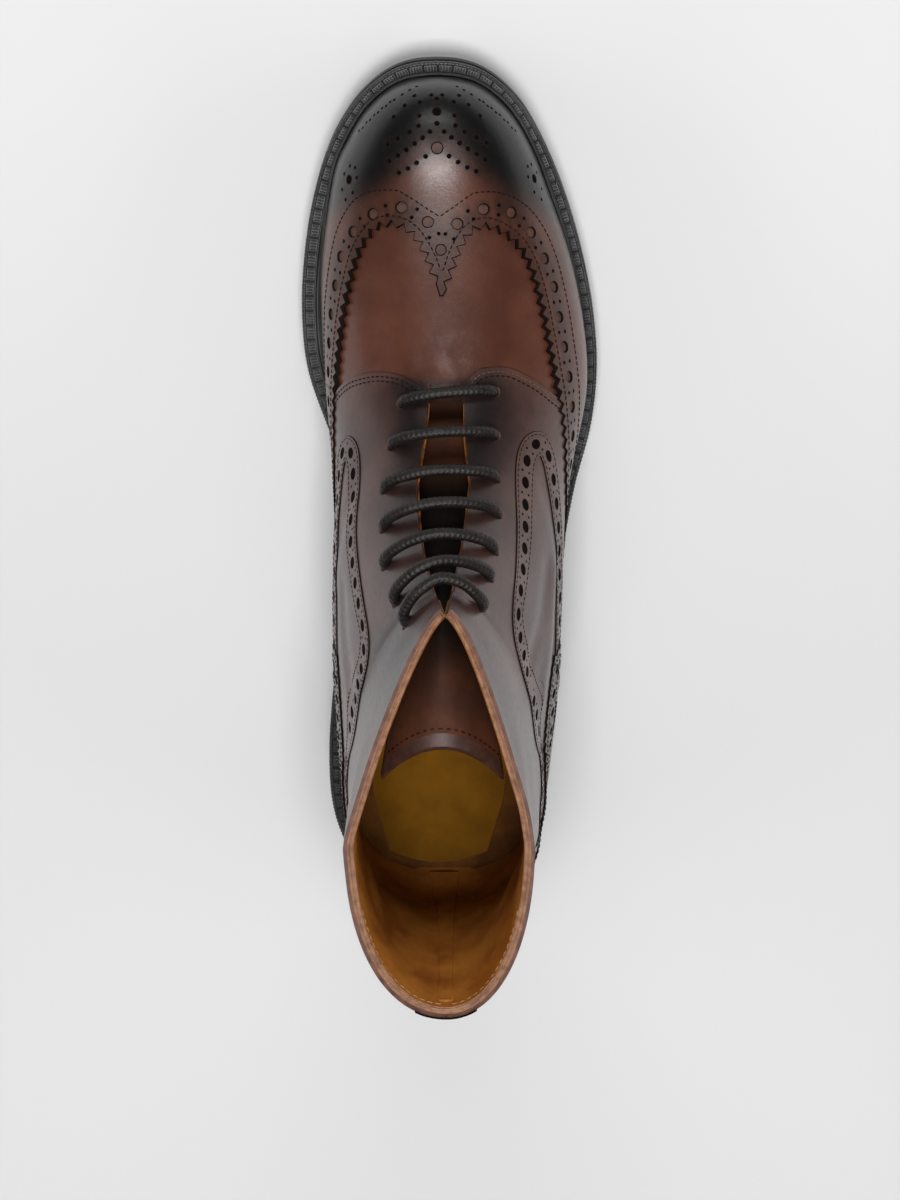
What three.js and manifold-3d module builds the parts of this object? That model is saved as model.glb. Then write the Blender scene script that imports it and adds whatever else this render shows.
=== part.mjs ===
// Right ankle boot: a full-brogue derby with a wing cap, seven rows of lace holes and a storm welt.
// Millimetres. The toe points to -Y, the inner (medial) side is +X, and the floor is Z = 0.
import * as THREE from 'three';
import { mergeVertices } from 'three/addons/utils/BufferGeometryUtils.js';
import Module from 'manifold-3d';

const wasm = await Module();
wasm.setup();

// Sizes of the upper
const UPPER_LENGTH = 298;
const BALL_WIDTH = 92;
const SHAFT_RISE = 127;
const COLLAR_DIP = 3;
const UPPER_WALL = 2.4;
const OVERLAY_THICKNESS = 1.2;
const CAP_THICKNESS = 1.6;
const STRIP_THICKNESS = 0.9;
const BACKSTAY_WIDTH = 20;

// Sizes of the sole
const TOE_REACH = 6.5;
const HEEL_REACH = 3.5;
const SIDE_REACH = 7.5;
const OUTSOLE_THICKNESS = 6;
const MIDSOLE_THICKNESS = 4;
const WELT_THICKNESS = 3;
const EDGE_STEP = 0.8;
const RIDGE_HEIGHT = 2.2;
const RIDGE_WIDTH = 1.8;
const HEEL_HEIGHT = 25;
const HEEL_LIFT = 6;
const HEEL_LENGTH = 84;
const BREAST_RADIUS = 95;
const TOE_SPRING = 9;
const INSOLE_THICKNESS = 4;

// Sizes of the tongue and the lacing
const TONGUE_THICKNESS = 2.4;
const TONGUE_FREE_LENGTH = 54;
const LACE_DIAMETER = 3.2;
const LACE_HOLE = 4.4;
const BAR_BOW = 1.2;

// Clearances
const GAP = 0.3;
const LACE_CLEARANCE = 0.6;
const INSIDE_CLEARANCE = 1.3;

const SOLE_LENGTH = TOE_REACH + UPPER_LENGTH + HEEL_REACH;
const SOLE_WIDTH = BALL_WIDTH + 2 * SIDE_REACH;
const TREAD_THICKNESS = OUTSOLE_THICKNESS + MIDSOLE_THICKNESS + WELT_THICKNESS;
const OVERLAY_TOP = GAP + OVERLAY_THICKNESS;
const CAP_TOP = GAP + CAP_THICKNESS;
const STRIP_TOP = OVERLAY_TOP + GAP + STRIP_THICKNESS;
const CUT_HEIGHT = 3 * STRIP_TOP;

// The gap between neighbouring leathers, in stations and as a share of the way round
const STATION_GAP = 0.03;
const AROUND_GAP = 0.004;

// Ends of the flat forefoot tread, as shares of the sole's length from the heel
const FLAT_START = 0.565;
const FLAT_END = 0.727;
const SPRING_POWER = 1.8;

// Underside of the outsole: level over the heel, down the arch, flat at the ball, then the toe spring
function treadHeight(s) {
  const share = s / SOLE_LENGTH;
  const breast = HEEL_LENGTH / SOLE_LENGTH;
  if (share < breast) return HEEL_HEIGHT;
  if (share < FLAT_START) {
    const fall = (FLAT_START - share) / (FLAT_START - breast);
    return HEEL_HEIGHT * fall * fall * (3 - 2 * fall);
  }
  if (share < FLAT_END) return 0;
  return TOE_SPRING * ((Math.min(share, 1) - FLAT_END) / (1 - FLAT_END)) ** SPRING_POWER;
}

// Top of the welt, where the upper starts
const featherHeight = (s) => treadHeight(s) + TREAD_THICKNESS;

// Distance from the back of the sole, and its Y
const soleY = (s) => SOLE_LENGTH / 2 - s;

// Sections of the upper from the toe, round the throat and heel, to the collar. Each one runs from a front
// point to a back point. Along is a share of UPPER_LENGTH, rise a share of SHAFT_RISE above the welt, axis
// and the half widths are shares of BALL_WIDTH, and widest is a share of the section's depth. Crown and
// the two keels are the powers of its round front and back.
const SECTION_COLUMNS = ['frontAlong', 'frontRise', 'backAlong', 'backRise', 'axis',
  'medial', 'lateral', 'widest', 'crown', 'keelMedial', 'keelLateral'];
const SECTION_ROWS = [
  [1.000, 0.087, 1.000, 0.048, 0.050, 0.033, 0.033, 0.55, 2.0, 2.0, 2.0],
  [0.997, 0.132, 0.997, -0.005, 0.050, 0.092, 0.092, 0.58, 2.1, 2.4, 2.4],
  [0.990, 0.175, 0.990, -0.042, 0.050, 0.152, 0.152, 0.60, 2.2, 2.8, 2.8],
  [0.976, 0.212, 0.976, -0.062, 0.050, 0.213, 0.213, 0.62, 2.3, 3.2, 3.2],
  [0.956, 0.243, 0.956, -0.079, 0.049, 0.272, 0.272, 0.64, 2.3, 3.5, 3.5],
  [0.928, 0.268, 0.928, -0.079, 0.048, 0.326, 0.326, 0.66, 2.3, 3.5, 3.5],
  [0.881, 0.295, 0.881, -0.079, 0.043, 0.391, 0.386, 0.68, 2.2, 3.5, 3.5],
  [0.777, 0.372, 0.760, -0.079, 0.030, 0.452, 0.496, 0.68, 2.1, 3.5, 3.5],
  [0.676, 0.469, 0.619, -0.079, 0.018, 0.452, 0.536, 0.64, 2.0, 3.2, 4.0],
  [0.599, 0.606, 0.465, -0.079, 0.028, 0.407, 0.474, 0.54, 2.0, 2.6, 5.0],
  [0.544, 0.775, 0.317, -0.079, 0.033, 0.408, 0.457, 0.60, 2.0, 3.2, 4.6],
  [0.512, 0.941, 0.173, -0.079, 0.030, 0.404, 0.433, 0.68, 1.95, 4.0, 4.2],
  [0.498, 1.054, 0.049, -0.075, 0.024, 0.389, 0.388, 0.74, 1.8, 3.6, 3.6],
  [0.496, 1.080, 0.015, -0.024, 0.022, 0.380, 0.380, 0.73, 1.7, 3.0, 3.0],
  [0.492, 1.123, 0.000, 0.173, 0.020, 0.366, 0.362, 0.68, 1.6, 2.5, 2.5],
  [0.488, 1.172, 0.019, 0.449, 0.015, 0.360, 0.336, 0.62, 1.4, 2.2, 2.2],
  [0.485, 1.251, 0.017, 0.756, 0.014, 0.361, 0.315, 0.60, 1.25, 2.1, 2.1],
  [0.482, 1.351, -0.003, 1.102, 0.014, 0.361, 0.313, 0.60, 1.2, 2.1, 2.1],
];
const LAST_STATION = SECTION_ROWS.length - 1;

// Value of a smooth curve through four neighbours, at a share from the second to the third
function throughFour(a, b, c, d, f) {
  const slope = (c - a) * f;
  const bend = (2 * a - 5 * b + 4 * c - d) * f * f;
  const twist = (3 * b - a - 3 * c + d) * f * f * f;
  return 0.5 * (2 * b + slope + bend + twist);
}

// Row of a table at a place between its rows, with straight ends
function rowAt(rows, place) {
  const i = Math.min(Math.max(Math.floor(place), 0), rows.length - 2);
  const before = rows[i - 1] ?? rows[i].map((v, k) => 2 * v - rows[i + 1][k]);
  const after = rows[i + 2] ?? rows[i + 1].map((v, k) => 2 * v - rows[i][k]);
  return rows[i].map((v, k) => throughFour(before[k], v, rows[i + 1][k], after[k], place - i));
}

// Straight-line reading of a short table of [place, value]
function readLine(table, place) {
  const last = table.length - 1;
  if (place <= table[0][0]) return table[0][1];
  if (place >= table[last][0]) return table[last][1];
  const i = table.findIndex((row) => row[0] > place);
  const [p0, v0] = table[i - 1];
  const [p1, v1] = table[i];
  return v0 + (v1 - v0) * (place - p0) / (p1 - p0);
}

// Point on the upper's outer face. Around is 0 on the front ridge and 1 at the back or underneath,
// positive on the medial side and negative on the lateral side.
function facePoint(station, around) {
  const row = Object.fromEntries(rowAt(SECTION_ROWS, station).map((v, k) => [SECTION_COLUMNS[k], v]));
  const side = Math.sign(around) || 1;
  const turn = Math.min(Math.abs(around), 1) * Math.PI;
  const halfWidth = (side > 0 ? row.medial : row.lateral) * BALL_WIDTH;
  const keel = side > 0 ? row.keelMedial : row.keelLateral;
  const inCrown = turn < Math.PI / 2;
  const power = 2 / (inCrown ? row.crown : keel);
  const across = halfWidth * Math.abs(Math.sin(turn)) ** power;
  const cosine = Math.abs(Math.cos(turn)) ** power;
  const depth = inCrown ? row.widest * (1 - cosine) : row.widest + (1 - row.widest) * cosine;
  const frontS = HEEL_REACH + row.frontAlong * UPPER_LENGTH;
  const backS = HEEL_REACH + row.backAlong * UPPER_LENGTH;
  const frontZ = featherHeight(frontS) + row.frontRise * SHAFT_RISE;
  const backZ = featherHeight(backS) + row.backRise * SHAFT_RISE;
  return new THREE.Vector3(
    row.axis * BALL_WIDTH + side * across,
    soleY(frontS + (backS - frontS) * depth),
    frontZ + (backZ - frontZ) * depth,
  );
}

// Outward direction of the upper's face
function faceNormal(station, around) {
  const ahead = facePoint(Math.min(station + 0.05, LAST_STATION), around);
  const behind = facePoint(Math.max(station - 0.05, 0), around);
  const along = ahead.sub(behind);
  const step = 0.02;
  const reach = Math.abs(around) > 1 - step ? Math.sign(around) * (1 - step) : around;
  const across = facePoint(station, reach + step).sub(facePoint(station, reach - step));
  return across.cross(along).normalize();
}

// Point at a height over the upper's face
function overFace(station, around, height) {
  return facePoint(station, around).addScaledVector(faceNormal(station, around), height);
}

// Geometry from corner points and triangles
function geometryOf(points, triangles) {
  const geometry = new THREE.BufferGeometry().setFromPoints(points);
  geometry.setIndex(triangles);
  return geometry;
}

// Closed body of two grids of points, one above the other
function slabGeometry(top, base) {
  const rows = top.length;
  const columns = top[0].length;
  const id = (layer, i, j) => (layer * rows + i) * columns + j;
  const triangles = [];
  const quad = (a, b, c, d) => triangles.push(a, b, c, a, c, d);
  for (let i = 0; i < rows - 1; i += 1) {
    for (let j = 0; j < columns - 1; j += 1) {
      quad(id(0, i, j), id(0, i + 1, j), id(0, i + 1, j + 1), id(0, i, j + 1));
      quad(id(1, i, j), id(1, i, j + 1), id(1, i + 1, j + 1), id(1, i + 1, j));
    }
    quad(id(0, i, 0), id(1, i, 0), id(1, i + 1, 0), id(0, i + 1, 0));
    quad(id(0, i, columns - 1), id(0, i + 1, columns - 1), id(1, i + 1, columns - 1), id(1, i, columns - 1));
  }
  for (let j = 0; j < columns - 1; j += 1) {
    quad(id(0, 0, j), id(0, 0, j + 1), id(1, 0, j + 1), id(1, 0, j));
    quad(id(0, rows - 1, j), id(1, rows - 1, j), id(1, rows - 1, j + 1), id(0, rows - 1, j + 1));
  }
  return geometryOf([...top.flat(), ...base.flat()], triangles);
}

// Closed body of rings of points, with a fan over each end
function loftGeometry(rings) {
  const count = rings[0].length;
  const middle = (ring) => ring.reduce((sum, p) => sum.add(p), new THREE.Vector3()).divideScalar(count);
  const points = [...rings.flat(), middle(rings[0]), middle(rings[rings.length - 1])];
  const startMiddle = rings.length * count;
  const triangles = [];
  for (let k = 0; k < count; k += 1) {
    const next = (k + 1) % count;
    for (let i = 0; i < rings.length - 1; i += 1) {
      const a = i * count;
      const b = a + count;
      triangles.push(a + k, b + k, b + next, a + k, b + next, a + next);
    }
    const last = (rings.length - 1) * count;
    triangles.push(startMiddle, k, next, startMiddle + 1, last + next, last + k);
  }
  return geometryOf(points, triangles);
}

// Solid for joining and cutting, facing outward
function solidOf(geometry) {
  const bare = geometry.clone();
  bare.deleteAttribute('normal');
  bare.deleteAttribute('uv');
  const merged = mergeVertices(bare, 1e-4);
  const mesh = (triVerts) => new wasm.Mesh({
    numProp: 3,
    vertProperties: new Float32Array(merged.attributes.position.array),
    triVerts: new Uint32Array(triVerts),
  });
  const triangles = Array.from(merged.index.array);
  const solid = new wasm.Manifold(mesh(triangles));
  return solid.volume() > 0 ? solid : new wasm.Manifold(mesh(triangles.reverse()));
}

// Mesh of a finished solid
function meshOf(name, solid, color, roughness) {
  const { vertProperties, triVerts } = solid.getMesh();
  const geometry = new THREE.BufferGeometry();
  geometry.setAttribute('position', new THREE.BufferAttribute(vertProperties, 3));
  geometry.setIndex(new THREE.BufferAttribute(triVerts, 1));
  geometry.computeVertexNormals();
  const material = new THREE.MeshStandardMaterial({ color, roughness, metalness: 0 });
  const mesh = new THREE.Mesh(geometry, material);
  mesh.name = name;
  return mesh;
}

// Even steps between two values, both ends included
const spread = (count, from, to) => [...Array(count + 1).keys()].map((i) => from + (to - from) * i / count);

// The last between two stations, at a height over the upper's face, closed at both ends
const SHAFT_START = 12.8;
const RING_STATIONS = [...spread(8, 0, 8), ...spread(5, 8.6, 11.6), ...spread(4, SHAFT_START, LAST_STATION)];
const RING_POINTS = 20;
function lastSolid(height, start = 0, end = LAST_STATION) {
  const arounds = spread(RING_POINTS, 0, 2).slice(0, -1).map((a) => (a > 1 ? a - 2 : a));
  const between = RING_STATIONS.filter((station) => station > start && station < end);
  const rings = [start, ...between, end].map((station) => (
    arounds.map((around) => overFace(station, around, height))));
  return solidOf(loftGeometry(rings));
}

// Sheet over the face between two heights. From and to give its two edges at each station.
function sheetSolid({ stations, from, to, low, high, columns = 10 }) {
  const grid = (height) => stations.map((station) => (
    spread(columns, from(station), to(station)).map((around) => overFace(station, around, height))));
  return solidOf(slabGeometry(grid(high), grid(low)));
}

// Widths of the sole: along is a share of its length from the heel, axis and half are shares of its width
const OUTLINE_ROWS = [
  [0.000, 0.042, 0.012],
  [0.004, 0.042, 0.089],
  [0.020, 0.042, 0.210],
  [0.055, 0.044, 0.306],
  [0.110, 0.046, 0.359],
  [0.180, 0.042, 0.374],
  [0.260, 0.031, 0.369],
  [0.340, 0.007, 0.362],
  [0.420, -0.026, 0.362],
  [0.490, -0.043, 0.385],
  [0.560, -0.031, 0.450],
  [0.630, -0.008, 0.492],
  [0.700, 0.008, 0.494],
  [0.770, 0.022, 0.469],
  [0.840, 0.035, 0.422],
  [0.900, 0.043, 0.359],
  [0.945, 0.043, 0.287],
  [0.973, 0.043, 0.215],
  [0.990, 0.043, 0.145],
  [0.998, 0.043, 0.075],
  [1.000, 0.043, 0.012],
];
const OUTLINE_STEPS = 40;
const LEAST_HALF_WIDTH = 0.5;

// Layer of the sole between two heights, drawn in from the sole's outline by an inset
function soleLayer({ base, top, inset = 0 }) {
  const places = spread(OUTLINE_STEPS, 0, OUTLINE_ROWS.length - 1);
  const lengthShare = 1 - 2 * inset / SOLE_LENGTH;
  const stations = places.map((place) => {
    const [along, axis, half] = rowAt(OUTLINE_ROWS, place);
    const halfWidth = Math.max(half * SOLE_WIDTH - inset, LEAST_HALF_WIDTH);
    return { s: inset + along * SOLE_LENGTH * lengthShare, x: axis * SOLE_WIDTH, halfWidth };
  });
  const grid = (height) => stations.map(({ s, x, halfWidth }) => (
    [-1, 1].map((side) => new THREE.Vector3(x + side * halfWidth, soleY(s), height(s)))));
  return solidOf(slabGeometry(grid(top), grid(base)));
}

// Wide slab between two heights over the sole's length, for trimming
const TRIM_MARGIN = 30;
const TRIM_STEPS = 28;
function trimSlab(base, top) {
  const stations = spread(TRIM_STEPS, -TRIM_MARGIN, SOLE_LENGTH + TRIM_MARGIN);
  const grid = (height) => stations.map((s) => (
    [-1, 1].map((side) => new THREE.Vector3(side * SOLE_WIDTH, soleY(s), height(Math.max(s, 0))))));
  return solidOf(slabGeometry(grid(top), grid(base)));
}

// Everything above the collar's edge, which dips between the front and the back
const COLLAR_FRONT = SECTION_ROWS[LAST_STATION][0] * UPPER_LENGTH;
function aboveCollar() {
  const top = featherHeight(0) + SHAFT_RISE;
  const stations = spread(16, -TRIM_MARGIN, COLLAR_FRONT + 2 * TRIM_MARGIN);
  const edge = (s) => {
    const share = Math.min(Math.max(s / COLLAR_FRONT, 0), 1);
    return top - COLLAR_DIP * Math.sin(Math.PI * share) ** 2;
  };
  const grid = (height) => stations.map((s) => (
    [-1, 1].map((side) => new THREE.Vector3(side * SOLE_WIDTH, soleY(s), height(s)))));
  return solidOf(slabGeometry(grid(() => top + 2 * SHAFT_RISE), grid(edge)));
}

const belowFeather = trimSlab(() => -TRIM_MARGIN, (s) => featherHeight(s) + GAP);
const collarTrim = aboveCollar();
const trimmed = (solid) => solid.subtract(belowFeather).subtract(collarTrim);

// Edge of each facing beside the throat: [station, around]
const THROAT_START = 8.05;
const FACING_EDGE = [
  [THROAT_START, 0.040], [8.7, 0.052], [9.35, 0.074], [10.2, 0.062], [11.2, 0.042], [14, 0.028], [17, 0.02],
];

// Opening between the facings: at each station as wide as its two edges, straight through the wall
function throatSolid() {
  const stations = spread(20, THROAT_START, LAST_STATION);
  const grid = (height) => stations.map((station) => [-1, 1].map((side) => {
    const place = overFace(station, 0, height);
    place.x = facePoint(station, side * readLine(FACING_EDGE, station)).x;
    return place;
  }));
  return solidOf(slabGeometry(grid(CUT_HEIGHT), grid(-CUT_HEIGHT)));
}
const throatCut = throatSolid();

// Lace holes of the two facings: station and around on the medial side, then on the lateral side
const LACE_ROWS = [
  [8.30, 0.117, 8.16, 0.112],
  [8.84, 0.152, 8.71, 0.126],
  [9.43, 0.172, 9.30, 0.140],
  [10.02, 0.170, 9.83, 0.146],
  [10.68, 0.168, 10.48, 0.140],
  [11.63, 0.148, 11.07, 0.132],
  [13.60, 0.140, 12.09, 0.126],
];
const laceHoles = LACE_ROWS.flatMap(([ms, ma, ls, la], row) => [
  { row, station: ms, around: ma },
  { row, station: ls, around: -la },
]);

// Round cutter through the facing, its lining and the air on both sides
const HOLE_SIDES = 6;
function holeCutter({ station, around }) {
  const depth = 4 * UPPER_WALL;
  const cylinder = new THREE.CylinderGeometry(LACE_HOLE / 2, LACE_HOLE / 2, 2 * depth, HOLE_SIDES);
  const up = new THREE.Vector3(0, 1, 0);
  cylinder.applyQuaternion(new THREE.Quaternion().setFromUnitVectors(up, faceNormal(station, around)));
  const place = facePoint(station, around);
  cylinder.translate(place.x, place.y, place.z);
  return solidOf(cylinder);
}
const holeCuts = laceHoles.map(holeCutter).reduce((all, cut) => all.add(cut));

// Hollow upper, open at the throat, the collar and underneath
function makeUpper() {
  const wall = lastSolid(0).subtract(lastSolid(-UPPER_WALL));
  return trimmed(wall).subtract(throatCut).subtract(holeCuts);
}

// Leather laid over the upper, from a gap over its face up to a height
const overlayShell = (low, high) => trimmed(lastSolid(high).subtract(lastSolid(low)));

// Edge of the wing cap on each side, and of its peak on the vamp: [station, around]
const WING_END = 10.2;
const PEAK_START = 6.34;
const PEAK_TIP = 7.08;
const PEAK_NOTCH = 0.08;
const PEAK_FOOT = 0.137;
const WING_MEDIAL = [
  [PEAK_START, 0.14], [6.5, 0.21], [6.7, 0.25], [7.1, 0.285],
  [7.8, 0.35], [8.7, 0.43], [9.4, 0.55], [10.2, 0.80],
];
const WING_LATERAL = [
  [PEAK_START, 0.14], [6.5, 0.19], [6.7, 0.23], [7.1, 0.252],
  [7.8, 0.27], [8.7, 0.375], [9.4, 0.50], [10.2, 0.80],
];
const PEAK_EDGE = [[PEAK_START, 0.135], [6.42, 0.070], [6.65, 0.034], [6.85, 0.018], [PEAK_TIP, 0.003]];

// A window reaches a little past the ridge and past the body that it cuts
const PAST_RIDGE = -0.02;
const PAST_END = 0.4;

// Area inside an edge on one side, cut through everything laid over the face
function windowSolid({ side, stations, inner, outer }) {
  return sheetSolid({
    stations,
    from: (station) => side * inner(station),
    to: (station) => side * outer(station),
    low: -CUT_HEIGHT,
    high: CUT_HEIGHT,
    columns: 8,
  });
}

// Body of the wing cap, out to a height, with its edges grown by a margin
function wingBody(height, growth) {
  const end = WING_END + growth * STATION_GAP;
  const edgeGap = growth * AROUND_GAP;
  const windows = [1, -1].map((side) => {
    const edge = side > 0 ? WING_MEDIAL : WING_LATERAL;
    const shift = growth * STATION_GAP;
    const peak = PEAK_EDGE.map((row) => row[0]);
    const beside = [...peak, ...spread(14, PEAK_TIP + PEAK_NOTCH, WING_END + PAST_END)];
    return windowSolid({
      side,
      stations: beside.map((station) => station + shift),
      inner: (station) => (station <= PEAK_TIP + shift ? readLine(PEAK_EDGE, station - shift) : PAST_RIDGE),
      outer: (station) => Math.max(readLine(edge, station - shift) - edgeGap, PEAK_FOOT),
    });
  });
  return lastSolid(height, 0, end).subtract(windows[0]).subtract(windows[1]);
}

// Edge of the heel counter: it rises from the waist, runs back level and crosses the heel: [station, around]
const COUNTER_START = 10.3;
const COUNTER_END = 14.5;
const COUNTER_EDGE = [
  [10.3, 0.90], [10.6, 0.46], [11.2, 0.41], [12, 0.455],
  [13, 0.49], [14, 0.62], [14.3, 0.75], [14.55, 0.90],
];

// Body of the heel counter, out to a height, with its edges grown by a margin
function counterBody(height, growth) {
  const start = COUNTER_START - growth * STATION_GAP;
  const end = COUNTER_END + growth * STATION_GAP;
  const shift = growth * STATION_GAP;
  const edge = (station) => {
    const beside = [station - shift, station + shift].map((place) => readLine(COUNTER_EDGE, place));
    return Math.min(...beside) - growth * AROUND_GAP;
  };
  const windows = [1, -1].map((side) => windowSolid({
    side,
    stations: spread(24, COUNTER_START - PAST_END, COUNTER_END + PAST_END),
    inner: () => PAST_RIDGE,
    outer: edge,
  }));
  return lastSolid(height, start, end).subtract(windows[0]).subtract(windows[1]);
}

const makeWingCap = () => overlayShell(GAP, CAP_TOP).intersect(wingBody(CUT_HEIGHT, 0));
const makeCounter = () => overlayShell(GAP, CAP_TOP).intersect(counterBody(CUT_HEIGHT, 0));

// Box between two corners
function boxSolid(low, high) {
  const size = high.clone().sub(low);
  const box = new THREE.BoxGeometry(size.x, size.y, size.z);
  box.translate((low.x + high.x) / 2, (low.y + high.y) / 2, (low.z + high.z) / 2);
  return solidOf(box);
}

// Half of space on one side of the back seam
const SEAM_X = 0.016 * BALL_WIDTH;
function sideOfSeam(side) {
  const near = SEAM_X + side * GAP / 2;
  const far = SEAM_X + side * SOLE_WIDTH;
  return boxSolid(
    new THREE.Vector3(Math.min(near, far), -SOLE_LENGTH, -SOLE_WIDTH),
    new THREE.Vector3(Math.max(near, far), SOLE_LENGTH, 3 * SHAFT_RISE),
  );
}

// The two quarters lie over the vamp, meet at the back and give way to the wing cap and the counter
const QUARTER_START = 7.97;
function makeQuarters() {
  const vamp = lastSolid(CUT_HEIGHT, 0, QUARTER_START);
  const cuts = [vamp, wingBody(CUT_HEIGHT, 1), counterBody(CUT_HEIGHT, 1), throatCut, holeCuts];
  const leather = cuts.reduce((solid, cut) => solid.subtract(cut), overlayShell(GAP, OVERLAY_TOP));
  return [1, -1].map((side) => leather.intersect(sideOfSeam(side)));
}

// Backstay over the seam, from the counter to the collar
function backstayBox(margin) {
  return boxSolid(
    new THREE.Vector3(SEAM_X - BACKSTAY_WIDTH / 2 - margin, soleY(SOLE_LENGTH / 4), 0),
    new THREE.Vector3(SEAM_X + BACKSTAY_WIDTH / 2 + margin, SOLE_LENGTH, 3 * SHAFT_RISE),
  );
}
function makeBackstay() {
  return overlayShell(OVERLAY_TOP + GAP, STRIP_TOP).intersect(backstayBox(0)).subtract(counterBody(CUT_HEIGHT, 1));
}

// Front and back edge of the punched strip on each quarter: it rises beside the facing, turns under the
// last lace hole and sweeps back to the backstay: [station, front edge, back edge]
const STRIP_MEDIAL = [
  [8.62, 0.29, 0.33], [8.85, 0.25, 0.34], [9.4, 0.258, 0.35], [10, 0.255, 0.34], [10.6, 0.235, 0.315],
  [11.2, 0.222, 0.295], [11.7, 0.215, 0.30], [12.2, 0.24, 0.36], [12.5, 0.285, 0.42], [13.3, 0.38, 0.47],
  [14.2, 0.47, 0.56], [14.9, 0.66, 0.84], [15.15, 0.85, 0.97],
];
const STRIP_LATERAL = [
  [8.55, 0.22, 0.30], [8.8, 0.195, 0.29], [9.4, 0.192, 0.262], [10, 0.20, 0.267], [10.6, 0.192, 0.262],
  [11.2, 0.184, 0.255], [11.7, 0.21, 0.30], [12.2, 0.30, 0.39], [12.6, 0.33, 0.42], [13.4, 0.37, 0.47],
  [14.2, 0.47, 0.56], [14.9, 0.66, 0.84], [15.15, 0.85, 0.97],
];
function makeStrip(side) {
  const edges = side > 0 ? STRIP_MEDIAL : STRIP_LATERAL;
  const column = (k) => edges.map((row) => [row[0], row[k]]);
  const area = windowSolid({
    side,
    stations: spread(20, edges[0][0], edges[edges.length - 1][0]),
    inner: (station) => readLine(column(1), station),
    outer: (station) => readLine(column(2), station),
  });
  return overlayShell(OVERLAY_TOP + GAP, STRIP_TOP).intersect(area).subtract(backstayBox(GAP));
}

// Insole inside the wall, standing through the welt
const INSOLE_CLEARANCE = 0.4;
const MIDSOLE_TOP = OUTSOLE_THICKNESS + MIDSOLE_THICKNESS;
function makeInsole() {
  const slab = trimSlab(
    (s) => treadHeight(s) + MIDSOLE_TOP + GAP,
    (s) => treadHeight(s) + MIDSOLE_TOP + GAP + INSOLE_THICKNESS,
  );
  return lastSolid(-UPPER_WALL - INSOLE_CLEARANCE).intersect(slab);
}

// Welt: a ring under the wall with a raised storm ridge round the upper
function makeWelt() {
  const plate = soleLayer({
    base: (s) => treadHeight(s) + MIDSOLE_TOP + GAP,
    top: featherHeight,
  });
  const ridgeFoot = CAP_TOP + 2 * GAP;
  const ridgeSlab = trimSlab(
    (s) => featherHeight(s) - WELT_THICKNESS / 2,
    (s) => featherHeight(s) + RIDGE_HEIGHT,
  );
  const ridge = lastSolid(ridgeFoot + RIDGE_WIDTH).subtract(lastSolid(ridgeFoot)).intersect(ridgeSlab);
  return plate.subtract(lastSolid(-UPPER_WALL - INSOLE_CLEARANCE + GAP)).add(ridge);
}

// Midsole and outsole, each a layer with its edge set in by a step
const makeMidsole = () => soleLayer({
  base: (s) => treadHeight(s) + OUTSOLE_THICKNESS + GAP,
  top: (s) => treadHeight(s) + MIDSOLE_TOP,
  inset: EDGE_STEP,
});
const makeOutsole = () => soleLayer({
  base: treadHeight,
  top: (s) => treadHeight(s) + OUTSOLE_THICKNESS,
});

// Heel: a block and a lift with a hollowed breast
const BREAST_DEPTH = 6;
const BREAST_AXIS = 0.031;
const BREAST_SIDES = 64;
function heelLayer(base, top, inset) {
  const layer = soleLayer({ base: () => base, top: () => top, inset });
  const front = boxSolid(
    new THREE.Vector3(-SOLE_WIDTH, -SOLE_LENGTH, -SOLE_WIDTH),
    new THREE.Vector3(SOLE_WIDTH, soleY(HEEL_LENGTH), SOLE_WIDTH),
  );
  const breast = new THREE.CylinderGeometry(BREAST_RADIUS, BREAST_RADIUS, SOLE_WIDTH, BREAST_SIDES);
  breast.rotateX(Math.PI / 2);
  breast.translate(BREAST_AXIS * SOLE_WIDTH, soleY(HEEL_LENGTH - BREAST_DEPTH + BREAST_RADIUS), 0);
  return layer.subtract(front).subtract(solidOf(breast));
}
const makeHeelBlock = () => heelLayer(HEEL_LIFT + GAP, HEEL_HEIGHT - GAP, EDGE_STEP);
const makeHeelLift = () => heelLayer(0, HEEL_LIFT, 0);

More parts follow.
